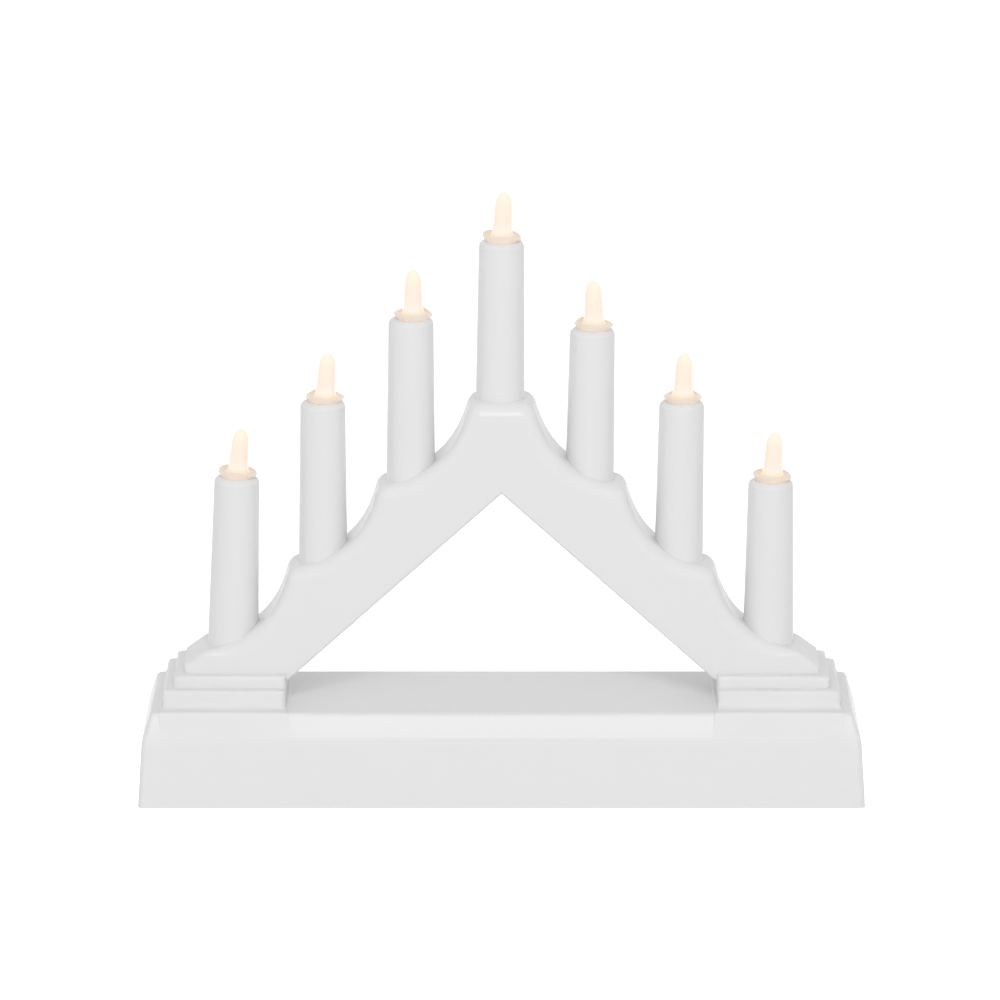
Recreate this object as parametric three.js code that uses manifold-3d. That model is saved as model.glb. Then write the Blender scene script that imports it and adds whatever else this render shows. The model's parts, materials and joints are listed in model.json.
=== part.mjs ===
// A candle arch with seven LED candles, moulded in white plastic and run on two AA cells.
// Millimetres. +X runs along the base, +Z is up, and the front faces -Y.
// The origin is the middle of the footprint, on the surface that the base stands on.

import * as THREE from 'three';
import { mergeVertices } from 'three/addons/utils/BufferGeometryUtils.js';
import loadManifold from 'manifold-3d';

const wasm = await loadManifold();
wasm.setup();

// Clearances
const FIT = 0.3;              // between a piece and the hole or pocket that holds it
const OVERRUN = 1;            // how far a cutter runs past the face that it opens
const FUSE = 0.5;             // how deep a boss or rib sinks into the wall that carries it
const SAME_POINT = 1e-3;      // points closer than this are one point

// Candles along the arch
// Left to right: how far each tube is off its place along the arch, how far it stands proud and its lean in
// degrees, then how far its light tip is off the tube's axis and how much further it leans
const CANDLES = [
  { along: -0.6, proud: 3.1, lean: 1.85, tipAlong: 0.15, tipLean: 3.4 },
  { along: -0.05, proud: 1.05, lean: 0.3, tipAlong: 0.55, tipLean: 4.0 },
  { along: -0.4, proud: 1.1, lean: 0.3, tipAlong: 0.6, tipLean: 0 },
  { along: -0.45, proud: -0.6, lean: 0.5, tipAlong: 0, tipLean: 2.5 },
  { along: -0.55, proud: -1.9, lean: 0.85, tipAlong: 0.4, tipLean: -1.8 },
  { along: -0.45, proud: 1.05, lean: 0.7, tipAlong: 0.25, tipLean: 1.3 },
  { along: -0.05, proud: 2.05, lean: 0.3, tipAlong: 0.35, tipLean: 2.4 },
];
const CANDLE_PITCH = 25.8;    // from one candle's place to the next
const SHELF_RISE = 24.45;     // from one shelf of the arch up to the next
const SIDE_CANDLES = (CANDLES.length - 1) / 2;

// Candle tube
const TUBE_LENGTH = 52.15;
const TUBE_FOOT_RADIUS = 7.1;
const END_TUBE_FOOT_RADIUS = 7.4; // the end candles are a little stouter
const TUBE_TOP_RADIUS = 6.45;
const TUBE_WALL = 1.2;
const TUBE_SHOULDER = 1.7;    // radius of the rounded top edge
const TUBE_INSERT = 6;        // length of the foot that is held inside the arch

// Flame-shaped light tip, with the drip cup at its foot
const FLAME_HEIGHT = 14.2;    // above the tube's top
const FLAME_RADIUS = 2.6;
const FLAME_FOOT_RADIUS = 3.3;
const FLAME_POINT = 4.6;      // length of the pointed end
const CUP_RADIUS = 5.5;
const CUP_HEIGHT = 2.0;
const CUP_LIP = 0.6;
const CUP_SEAT_RADIUS = 4.1;
const SPIGOT_RADIUS = 2.75;
const SPIGOT_LENGTH = 4;
const TIP_PLAY = 0.95;        // round the spigot, as the tips sit a little off the middle

// Light-emitting diode inside each flame
const LED_RADIUS = 1.5;
const LED_FLANGE_RADIUS = 1.8;
const LED_FLANGE = 0.9;
const LED_LENGTH = 7;

// Arch
const ARCH_DEPTH = 20.4;
const ARCH_WALL = 1.8;
const ARCH_EDGE_RADIUS = 4.0; // rounding between the skyline and the front and rear faces
const CROWN_DEPTH = 26.6;     // from the top shelf straight down to the peak of the gable opening
const FOOT_SHELF_HEIGHT = 6.8;    // end shelf above the plinth
const CROWN_REACH = 9.0;      // middle candle's place to the corner of the top shelf
const SHELF_REACH = 9.8;      // candle's place to the corner of its shelf
const SHELF_FALL = 0.55;      // the shelf runs down to its corner by this much
const SHELF_CORNER = 4.4;     // radius of that corner
const SWEEP_REACH = 15.1;     // candle's place to the knee of the hollow sweep below the shelf
const SWEEP_DROP = 21.5;
const FOOT_REACH = 9.7;       // end candle's place to the last corner
const FOOT_FALL = 0.45;
const FOOT_CORNER = 8;        // radius of the last corner
const TOE_REACH = 14.5;       // end candle's place to the outer tip of the foot
const TOE_HEIGHT = 2.1;
const HEEL_REACH = 15.0;      // end candle's place to the inner end of the plinth
const HEEL_DROP = 2.6;        // the heel laps down over the plinth's inner end
const SEAT_THICKNESS = 1.4;   // web that a tube's foot stands on
const SEAT_WIDTH = 17;
const SEAT_PORT_RADIUS = 2.8; // way through the web for the wire
const ARCH_BOSS_RADIUS = 2.4;
const ARCH_BOSS_HEIGHT = 9;
const ARCH_BOSS_INSET = 5.3;  // plinth's inner end to the screw axis
const ARCH_BOSS_SPREAD = 4.4; // parting plane to the screw axis

// Base housing with its two stepped plinths
const UPPER_STEP_MARGIN = 2.9;    // ledge outside the arch's foot
const UPPER_STEP_DEPTH = 27.5;
const UPPER_STEP_HEIGHT = 3.4;
const LOWER_STEP_MARGIN = 2.95;   // ledge outside the upper step
const LOWER_STEP_DEPTH = 33.9;
const LOWER_STEP_HEIGHT = 5.1;
const SADDLE_RISE = 0.25;     // low raised band that carries each plinth
const SADDLE_MARGIN = 1.1;
const DECK_MARGIN = 3.35;     // deck outside the lower step
const DECK_DEPTH = 42;
const CHAMFER_RUN = 2.6;
const CHAMFER_RISE = 8;
const BAND_DRAFT = 1.25;
const BAND_HEIGHT = 19.5;
const BASE_WALL = 2.0;
const BASE_CORNER = 1.6;      // radius of the upright corners
const STEP_EDGE = 0.8;        // rounding along the top edges of the steps
const DECK_EDGE = 1.0;
const PLINTH_PORT_RADIUS = 1.9;

// Base plate, held up inside the rim
const PLATE_RECESS = 1.8;
const PLATE_THICKNESS = 2.4;
const PLATE_BOSS_RADIUS = 3;
const PLATE_BOSS_INSET_X = 9;
const PLATE_BOSS_INSET_Y = 6.5;

// Screws
const SCREW_RADIUS = 1.0;
const SCREW_HEAD_RADIUS = 2.0;
const SCREW_CROWN_RADIUS = 1.4;
const SCREW_HEAD = 1.4;
const SCREW_BITE = 7;         // length in the boss

// AA cells and their bay
const CELL_RADIUS = 7.1;
const CELL_BODY = 49.2;
const CELL_NUB = 1.3;
const CELL_NUB_RADIUS = 2.7;
const CELL_GAP = 0.6;         // between the two cells
const CELL_EDGE = 0.8;
const BAY_WALL = 1.4;
const BAY_CENTRE = -38;
const BAY_LIP = 1;            // plate left under each side of the bay
const CONTACT_THICKNESS = 0.5;
const CONTACT_SIZE = 9;
const TAIL_WIDTH = 2;
const TAIL_LENGTH = 3;
const SPRING_LENGTH = 5;
const SPRING_BASE_RADIUS = 4.2;
const SPRING_TIP_RADIUS = 2.6;
const SPRING_WIRE = 0.4;      // radius of the wire
const SPRING_CURLS = 3;
const CURL_STEPS = 8;

// Battery door
const HINGE_PIN_LENGTH = 1.5;
const TAB_WIDTH = 10;
const TAB_LENGTH = 2.5;
const TAB_THICKNESS = 1.2;
const THUMB_NOTCH = 4;        // room past the tab for a thumb nail

// Slide switch
const SWITCH_CENTRE = 60;
const SWITCH_LENGTH = 14;
const SWITCH_WIDTH = 8;
const SWITCH_HEIGHT = 6;
const SLIDER_TRAVEL = 3;
const SLIDER_LENGTH = 5;
const SLIDER_WIDTH = 3;
const SLIDER_PROUD = 0.8;     // knob below the plate
const SHOE_MARGIN = 0.8;
const SHOE_HEIGHT = 1.8;
const TERMINAL_SIZE = 0.8;
const TERMINAL_LENGTH = 2.2;
const TERMINAL_SPREAD = 4;

// Circuit board
const BOARD_CENTRE = 25;
const BOARD_LENGTH = 30;
const BOARD_WIDTH = 22;
const BOARD_THICKNESS = 1.6;
const BOARD_HEIGHT = 4;       // above the plate
const POST_RADIUS = 2;
const POST_PIN_RADIUS = 0.9;
const POST_INSET = 3.2;
const CHIP_LENGTH = 5;
const CHIP_WIDTH = 4;
const CHIP_HEIGHT = 1.6;
const CHIP_PLACE = 4;         // from the board's centre
const RESISTOR_LENGTH = 6.4;
const RESISTOR_RADIUS = 1.2;
const RESISTOR_WAIST = 0.95;
const RESISTOR_PLACE = -6;

// Wires
const WIRE_RADIUS = 0.8;
const LEAD_RADIUS = 0.65;
const TRUNK_LIFT = 5;         // trunk above the gable opening
const WIRE_RISE = 3;          // straight length of the harness above the board
const LEAD_RISE = 2;          // straight length at each end of a lead

// Smoothness
const ROUND = 16;             // sides of a tube or cell
const SMALL_ROUND = 8;        // sides of a boss, screw, pin or wire port
const FLAME_SIDES = 12;
const WIRE_SIDES = 6;
const ARC_STEPS = 4;
const SWEEP_STEPS = 6;
const EDGE_STEPS = 3;
const CORNER_STEPS = 2;
const WIRE_STEPS = 3;         // between two places of a wire
const SPRING_SIDES = 5;

// Places that follow from the sizes above
const shelfX = (index) => (index - SIDE_CANDLES) * CANDLE_PITCH;
const candleX = (index) => shelfX(index) + CANDLES[index].along;
const isEnd = (index) => index === 0 || index === CANDLES.length - 1;
const footRadius = (index) => (isEnd(index) ? END_TUBE_FOOT_RADIUS : TUBE_FOOT_RADIUS);
const endX = SIDE_CANDLES * CANDLE_PITCH;
const toeX = endX + TOE_REACH;
const heelX = endX - HEEL_REACH;
const upperStepX = toeX + UPPER_STEP_MARGIN;
const lowerStepX = upperStepX + LOWER_STEP_MARGIN;
const deckX = lowerStepX + DECK_MARGIN;
const bandX = deckX + CHAMFER_RUN;
const baseX = bandX + BAND_DRAFT;
const deckY = DECK_DEPTH / 2;
const bandY = deckY + CHAMFER_RUN;
const baseY = bandY + BAND_DRAFT;
const deckZ = BAND_HEIGHT + CHAMFER_RISE;
const saddleZ = deckZ + SADDLE_RISE;
const lowerStepZ = saddleZ + LOWER_STEP_HEIGHT;
const plinthZ = lowerStepZ + UPPER_STEP_HEIGHT;
const deckUnderside = deckZ - BASE_WALL;
const plinthUnderside = plinthZ - BASE_WALL;
const crownZ = plinthZ + FOOT_SHELF_HEIGHT + SIDE_CANDLES * SHELF_RISE;
const gableZ = crownZ - CROWN_DEPTH;
const gableSlope = (gableZ - plinthZ + HEEL_DROP) / (heelX - FIT);
const shelfZ = (index) => crownZ - Math.abs(index - SIDE_CANDLES) * SHELF_RISE;
const seatZ = (index) => shelfZ(index) - TUBE_INSERT + CANDLES[index].proud;
const plateTop = PLATE_RECESS + PLATE_THICKNESS;
const wallSlope = BAND_DRAFT / BAND_HEIGHT;
const plateX = baseX - wallSlope * plateTop - BASE_WALL - FIT;
const plateY = baseY - wallSlope * plateTop - BASE_WALL - FIT;
const archBossX = heelX + ARCH_BOSS_INSET;
const bossHole = SCREW_RADIUS + FIT;
const plateBossX = baseX - PLATE_BOSS_INSET_X;
const plateBossY = baseY - PLATE_BOSS_INSET_Y;
const cellY = CELL_RADIUS + CELL_GAP / 2;
const cellZ = plateTop + FIT + CELL_RADIUS;
const bayRoof = cellZ + CELL_RADIUS + FIT;
const bayHalfWidth = cellY + CELL_RADIUS + FIT;
const bayLength = CELL_BODY + CELL_NUB + SPRING_LENGTH + 2 * CONTACT_THICKNESS + 2 * FIT;
const bayLeft = BAY_CENTRE - bayLength / 2;
const bayRight = BAY_CENTRE + bayLength / 2;
const doorHoleLeft = bayLeft + BAY_LIP;
const doorHoleRight = bayRight - BAY_LIP;
const doorHoleHalf = bayHalfWidth - BAY_LIP;
const hingeRadius = PLATE_THICKNESS / 2;
const hingeX = doorHoleLeft + FIT + hingeRadius;
const hingeZ = PLATE_RECESS + hingeRadius;
const hingePinRadius = hingeRadius / 2;
const boardZ = plateTop + BOARD_HEIGHT;
const boardTop = boardZ + BOARD_THICKNESS;
const shoeLength = SLIDER_LENGTH + 2 * SHOE_MARGIN;
const shoeWidth = SLIDER_WIDTH + 2 * SHOE_MARGIN;
const shoeTop = plateTop + FIT + SHOE_HEIGHT;
const switchTop = plateTop + SWITCH_HEIGHT;

// Finishes
function paint(color, roughness, metalness = 0) {
  return new THREE.MeshStandardMaterial({ color, roughness, metalness });
}
const WHITE_PLASTIC = paint(0xf2f2f2, 0.22);
const CLEAR_AMBER = new THREE.MeshStandardMaterial({ color: 0xffe9c8, roughness: 0.3, emissive: 0xffc878 });
const LED_RESIN = new THREE.MeshStandardMaterial({ color: 0xfff3d0, roughness: 0.15, emissive: 0xffd890 });
const STEEL = paint(0xc8c8c8, 0.3, 1);
const CELL_SLEEVE = paint(0x3d4a52, 0.4);
const BOARD_GREEN = paint(0x1f5a38, 0.5);
const BLACK_PLASTIC = paint(0x1c1c1c, 0.5);
const RESISTOR_BODY = paint(0xc9a878, 0.5);
const WHITE_WIRE = paint(0xe6e6e2, 0.5);
const RED_WIRE = paint(0xb02020, 0.5);
const BLACK_WIRE = paint(0x202020, 0.5);

// Closed solid from a three.js geometry, facing outwards
function solidFrom(geometry) {
  const bare = geometry.clone();
  bare.deleteAttribute('normal');
  bare.deleteAttribute('uv');
  const merged = mergeVertices(bare, SAME_POINT);
  const points = merged.getAttribute('position').array;
  const corners = merged.index.array;
  const faces = [];
  let volume = 0;
  const at = (corner) => new THREE.Vector3().fromArray(points, 3 * corner);
  for (let i = 0; i < corners.length; i += 3) {
    const [a, b, c] = corners.slice(i, i + 3);
    if (a === b || b === c || c === a) continue;
    faces.push([a, b, c]);
    volume += at(a).dot(at(b).cross(at(c)));
  }
  const turned = volume < 0 ? faces.map(([a, b, c]) => [a, c, b]) : faces;
  const mesh = new wasm.Mesh({
    numProp: 3,
    vertProperties: Float32Array.from(points),
    triVerts: Uint32Array.from(turned.flat()),
  });
  return new wasm.Manifold(mesh);
}

// three.js geometry from a solid
function geometryFrom(solid) {
  const mesh = solid.getMesh();
  const geometry = new THREE.BufferGeometry();
  geometry.setAttribute('position', new THREE.BufferAttribute(Float32Array.from(mesh.vertProperties), 3));
  geometry.setIndex(new THREE.BufferAttribute(Uint32Array.from(mesh.triVerts), 1));
  geometry.computeVertexNormals();
  return geometry;
}

const join = (solids) => solids.reduce((whole, next) => whole.add(next));
const cut = (solid, cutters) => cutters.reduce((whole, next) => whole.subtract(next), solid);

// Box between two corners
function block(low, high) {
  const size = high.map((value, axis) => value - low[axis]);
  const middle = high.map((value, axis) => (value + low[axis]) / 2);
  return solidFrom(new THREE.BoxGeometry(...size).translate(...middle));
}

// Upright cylinder
function post(x, y, low, high, radius, sides = SMALL_ROUND) {
  const geometry = new THREE.CylinderGeometry(radius, radius, high - low, sides);
  return solidFrom(geometry.rotateX(Math.PI / 2).translate(x, y, (low + high) / 2));
}

// Cylinder that lies along Y
function roller(x, z, low, high, radius) {
  const geometry = new THREE.CylinderGeometry(radius, radius, high - low, SMALL_ROUND);
  return solidFrom(geometry.translate(x, (low + high) / 2, z));
}

// Turned solid about Z, from [radius, height] pairs
function turned(profile, sides) {
  const points = profile.map(([radius, height]) => new THREE.Vector2(radius, height));
  return solidFrom(new THREE.LatheGeometry(points, sides).rotateX(Math.PI / 2));
}

// Solid between stacked rings of points, closed at both ends
function loft(rings) {
  const count = rings[0].length;
  const points = rings.flat().flat();
  const faces = [];
  for (let level = 0; level + 1 < rings.length; level++) {
    for (let i = 0; i < count; i++) {
      const a = level * count + i;
      const b = level * count + (i + 1) % count;
      faces.push(a, b, b + count, a, b + count, a + count);
    }
  }
  const top = (rings.length - 1) * count;
  for (let i = 1; i + 1 < count; i++) {
    faces.push(0, i + 1, i, top, top + i, top + i + 1);
  }
  const geometry = new THREE.BufferGeometry();
  geometry.setAttribute('position', new THREE.Float32BufferAttribute(points, 3));
  geometry.setIndex(faces);
  return solidFrom(geometry);
}

// Level ring with round corners, between two x places and two y places
function ring(x0, x1, y0, y1, z, radius) {
  const places = [];
  const centres = [[x1 - radius, y1 - radius], [x0 + radius, y1 - radius],
    [x0 + radius, y0 + radius], [x1 - radius, y0 + radius]];
  centres.forEach(([x, y], quarter) => {
    for (let step = 0; step <= CORNER_STEPS; step++) {
      const angle = (quarter + step / CORNER_STEPS) * Math.PI / 2;
      places.push([x + radius * Math.cos(angle), y + radius * Math.sin(angle), z]);
    }
  });
  return places;
}

// Slab of an outline in the XZ plane, between two y places
function slab(outline, y0, y1) {
  const shape = new THREE.Shape(outline);
  const geometry = new THREE.ExtrudeGeometry(shape, { depth: y1 - y0, bevelEnabled: false });
  return solidFrom(geometry.rotateX(Math.PI / 2).translate(0, y1, 0));
}

// Round section swept along a curve
function sweep(curve, radius, steps, sides = WIRE_SIDES) {
  const section = new THREE.Shape();
  for (let side = 0; side < sides; side++) {
    const angle = 2 * Math.PI * side / sides;
    section[side ? 'lineTo' : 'moveTo'](radius * Math.cos(angle), radius * Math.sin(angle));
  }
  section.closePath();
  const options = { steps, extrudePath: curve, bevelEnabled: false };
  return solidFrom(new THREE.ExtrudeGeometry(section, options));
}

// Wire through a list of [x, y, z] places
function wire(places, radius) {
  const points = places.map((place) => new THREE.Vector3(...place));
  const curve = new THREE.CatmullRomCurve3(points, false, 'centripetal');
  return sweep(curve, radius, WIRE_STEPS * (points.length - 1));
}

const object = new THREE.Group();

function place(name, solid, material, parent = object) {
  const mesh = new THREE.Mesh(geometryFrom(solid), material);
  mesh.name = name;
  parent.add(mesh);
  return mesh;
}

// Group that stands on a candle's seat and leans with it
function candleStand(index) {
  const stand = new THREE.Group();
  stand.position.set(candleX(index), 0, seatZ(index) + FIT);
  stand.rotation.y = THREE.MathUtils.degToRad(CANDLES[index].lean);
  stand.updateMatrixWorld(true);
  return stand;
}

// Group for a candle's light tip, on top of its stand
function lightTip(index) {
  const { tipAlong, tipLean } = CANDLES[index];
  const stand = candleStand(index);
  const tip = new THREE.Group();
  tip.position.set(tipAlong, 0, TUBE_LENGTH);
  tip.rotation.y = THREE.MathUtils.degToRad(tipLean);
  stand.add(tip);
  stand.updateMatrixWorld(true);
  return tip;
}

// Arch
// Skyline of one side from the crown to the toe: round shelf corners with hollow sweeps between them
function sideSkyline() {
  const knees = [new THREE.Vector2(0, crownZ)];
  for (let step = 0; step < SIDE_CANDLES; step++) {
    const axis = step * CANDLE_PITCH;
    const shelf = crownZ - step * SHELF_RISE;
    const [reach, fall] = step ? [SHELF_REACH, SHELF_FALL] : [CROWN_REACH, 0];
    knees.push(new THREE.Vector2(axis + reach, shelf - fall));
    knees.push(new THREE.Vector2(axis + SWEEP_REACH, shelf - SWEEP_DROP));
  }
  knees.push(new THREE.Vector2(endX + FOOT_REACH, plinthZ + FOOT_SHELF_HEIGHT - FOOT_FALL));
  knees.push(new THREE.Vector2(toeX, plinthZ + TOE_HEIGHT));

  const skyline = [knees[0]];
  for (let i = 1; i < knees.length - 1; i += 2) {
    const radius = i === knees.length - 2 ? FOOT_CORNER : SHELF_CORNER;
    const arc = cornerArc(knees[i - 1], knees[i], knees[i + 1], radius);
    if (i > 1) {
      const hollow = new THREE.QuadraticBezierCurve(skyline.at(-1), knees[i - 1], arc[0]);
      skyline.push(...hollow.getPoints(SWEEP_STEPS).slice(1, -1));
    }
    skyline.push(...arc);
  }
  skyline.push(knees.at(-1));
  return skyline;
}

// Arc that rounds the corner between two straight runs
function cornerArc(before, corner, after, radius) {
  const back = before.clone().sub(corner).normalize();
  const ahead = after.clone().sub(corner).normalize();
  const half = Math.acos(back.dot(ahead)) / 2;
  const middle = back.clone().add(ahead).normalize();
  const centre = corner.clone().addScaledVector(middle, radius / Math.sin(half));
  const start = corner.clone().addScaledVector(back, radius / Math.tan(half)).sub(centre);
  const turn = -(Math.PI - 2 * half);
  const origin = new THREE.Vector2();
  const points = [];
  for (let step = 0; step <= ARC_STEPS; step++) {
    points.push(start.clone().rotateAround(origin, turn * step / ARC_STEPS).add(centre));
  }
  return points;
}

// Whole outline from the left toe over the crown to the right toe, closed below
function bothSides(side, low) {
  const right = [...side, new THREE.Vector2(side.at(-1).x, low)];
  const left = right.slice(1).map((point) => new THREE.Vector2(-point.x, point.y)).reverse();
  return [...left, ...right];
}

// The same skyline, moved into the material by one wall
function insetSkyline(side, distance) {
  return side.map((point, i) => {
    const before = side[Math.max(i - 1, 0)];
    const after = side[Math.min(i + 1, side.length - 1)];
    const along = after.clone().sub(before).normalize();
    const inset = point.clone().add(new THREE.Vector2(along.y, -along.x).multiplyScalar(distance));
    if (i === 0) inset.set(0, point.y - distance);
    if (i === side.length - 1) inset.x = point.x - distance;
    return inset;
  });
}

// Gable opening under the arch, raised by a given height
function gable(lift, low) {
  const spread = (gableZ + lift - low) / gableSlope;
  const places = [[-spread, low], [spread, low], [0, gableZ + lift]];
  return places.map(([x, z]) => new THREE.Vector2(x, z));
}

function archBody() {
  const halfDepth = ARCH_DEPTH / 2;
  const innerHalf = halfDepth - ARCH_WALL;
  const low = plinthZ - LOWER_STEP_HEIGHT;
  const side = sideSkyline();
  const blank = new THREE.ExtrudeGeometry(new THREE.Shape(bothSides(side, low)), {
    depth: ARCH_DEPTH - 2 * ARCH_EDGE_RADIUS,
    bevelThickness: ARCH_EDGE_RADIUS,
    bevelSize: ARCH_EDGE_RADIUS,
    bevelOffset: -ARCH_EDGE_RADIUS,
    bevelSegments: EDGE_STEPS,
  });
  blank.rotateX(Math.PI / 2).translate(0, halfDepth - ARCH_EDGE_RADIUS, 0);
  const heel = heelX - FIT;
  const outside = cut(solidFrom(blank), [
    slab(gable(0, low - OVERRUN), -halfDepth - OVERRUN, halfDepth + OVERRUN),
    block([heel, -halfDepth - OVERRUN, low - OVERRUN], [toeX + OVERRUN, halfDepth + OVERRUN, plinthZ]),
    block([-toeX - OVERRUN, -halfDepth - OVERRUN, low - OVERRUN], [-heel, halfDepth + OVERRUN, plinthZ]),
  ]);

  const lift = ARCH_WALL * Math.hypot(1, gableSlope);
  const hollowBlank = slab(bothSides(insetSkyline(side, ARCH_WALL), low), -innerHalf, innerHalf);
  const hollow = hollowBlank.subtract(slab(gable(lift, low - OVERRUN), -halfDepth, halfDepth));

  const ribs = [];
  const bores = [];
  CANDLES.forEach((candle, index) => {
    const x = candleX(index);
    const z = seatZ(index);
    const web = block([x - SEAT_WIDTH / 2, -innerHalf - FUSE, z - SEAT_THICKNESS],
      [x + SEAT_WIDTH / 2, innerHalf + FUSE, z]);
    ribs.push(web.subtract(post(x, 0, z - SEAT_THICKNESS - OVERRUN, z + OVERRUN, SEAT_PORT_RADIUS)));
    const boreRadius = footRadius(index) + FIT;
    const bore = new THREE.CylinderGeometry(boreRadius, boreRadius, TUBE_LENGTH, ROUND);
    bore.rotateX(Math.PI / 2).translate(0, 0, TUBE_LENGTH / 2 - FIT / 2);
    bores.push(solidFrom(bore.applyMatrix4(candleStand(index).matrixWorld)));
  });
  for (const x of [-archBossX, archBossX]) {
    for (const sideY of [-1, 1]) {
      const y = sideY * ARCH_BOSS_SPREAD;
      const wall = sideY * (innerHalf + FUSE);
      ribs.push(post(x, y, plinthZ, plinthZ + ARCH_BOSS_HEIGHT, ARCH_BOSS_RADIUS));
      ribs.push(block([x - ARCH_BOSS_RADIUS / 2, Math.min(y, wall), plinthZ],
        [x + ARCH_BOSS_RADIUS / 2, Math.max(y, wall), plinthZ + ARCH_BOSS_HEIGHT]));
      bores.push(post(x, y, plinthZ - OVERRUN, plinthZ + SCREW_BITE + FIT, bossHole));
    }
  }
  const shell = outside.subtract(hollow);
  return cut(shell.add(join(ribs).intersect(outside)), bores);
}

function addArch() {
  const whole = archBody();
  const reach = toeX + OVERRUN;
  const depth = ARCH_DEPTH / 2 + OVERRUN;
  const top = crownZ + OVERRUN;
  place('arch_front_shell', whole.intersect(block([-reach, -depth, 0], [reach, 0, top])), WHITE_PLASTIC);
  place('arch_rear_shell', whole.intersect(block([-reach, 0, 0], [reach, depth, top])), WHITE_PLASTIC);
}

// Candles
function tubeSolid(foot) {
  const port = SPIGOT_RADIUS + TIP_PLAY;
  const top = TUBE_LENGTH;
  const profile = [[foot - TUBE_WALL, 0], [foot, 0]];
  for (let step = 0; step <= ARC_STEPS; step++) {
    const angle = step / ARC_STEPS * Math.PI / 2;
    profile.push([TUBE_TOP_RADIUS - TUBE_SHOULDER * (1 - Math.cos(angle)),
      top - TUBE_SHOULDER * (1 - Math.sin(angle))]);
  }
  profile.push([port, top], [port, top - TUBE_WALL], [TUBE_TOP_RADIUS - TUBE_WALL - FUSE, top - TUBE_WALL],
    [TUBE_TOP_RADIUS - TUBE_WALL, top - TUBE_SHOULDER], profile[0]);
  return turned(profile, ROUND);
}

function flameSolid() {
  const wide = LED_FLANGE_RADIUS + FIT;
  const narrow = LED_RADIUS + FIT;
  const ledBase = -SPIGOT_LENGTH + FIT;
  const boreTop = ledBase + LED_LENGTH + FIT;
  const shoulder = FLAME_HEIGHT - FLAME_POINT;
  const profile = [[0, boreTop], [narrow, boreTop - narrow / 2], [narrow, ledBase + LED_FLANGE + FIT],
    [wide, ledBase + LED_FLANGE + FIT], [wide, -SPIGOT_LENGTH], [SPIGOT_RADIUS, -SPIGOT_LENGTH],
    [SPIGOT_RADIUS, FIT], [CUP_SEAT_RADIUS, FIT], [CUP_RADIUS, CUP_HEIGHT - CUP_LIP],
    [CUP_RADIUS, CUP_HEIGHT], [FLAME_FOOT_RADIUS, CUP_HEIGHT - CUP_LIP / 2], [FLAME_RADIUS, 2 * CUP_HEIGHT]];
  for (let step = 0; step < ARC_STEPS; step++) {
    const share = step / ARC_STEPS;
    profile.push([FLAME_RADIUS * Math.sqrt(1 - share ** 2), shoulder + FLAME_POINT * share]);
  }
  profile.push([0, FLAME_HEIGHT]);
  return turned(profile, FLAME_SIDES);
}

function ledSolid() {
  const base = -SPIGOT_LENGTH + FIT;
  const dome = base + LED_LENGTH - LED_RADIUS;
  const profile = [[0, base], [LED_FLANGE_RADIUS, base], [LED_FLANGE_RADIUS, base + LED_FLANGE],
    [LED_RADIUS, base + LED_FLANGE]];
  for (let step = 0; step < EDGE_STEPS; step++) {
    const angle = step / EDGE_STEPS * Math.PI / 2;
    profile.push([LED_RADIUS * Math.cos(angle), dome + LED_RADIUS * Math.sin(angle)]);
  }
  profile.push([0, dome + LED_RADIUS]);
  return turned(profile, SMALL_ROUND);
}

function addCandles() {
  const flame = flameSolid();
  const led = ledSolid();
  CANDLES.forEach((candle, index) => {
    const tip = lightTip(index);
    const stand = tip.parent;
    object.add(stand);
    place(`candle_tube_${index + 1}`, tubeSolid(footRadius(index)), WHITE_PLASTIC, stand);
    place(`flame_${index + 1}`, flame, CLEAR_AMBER, tip);
    place(`led_${index + 1}`, led, LED_RESIN, tip);
  });
}

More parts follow.
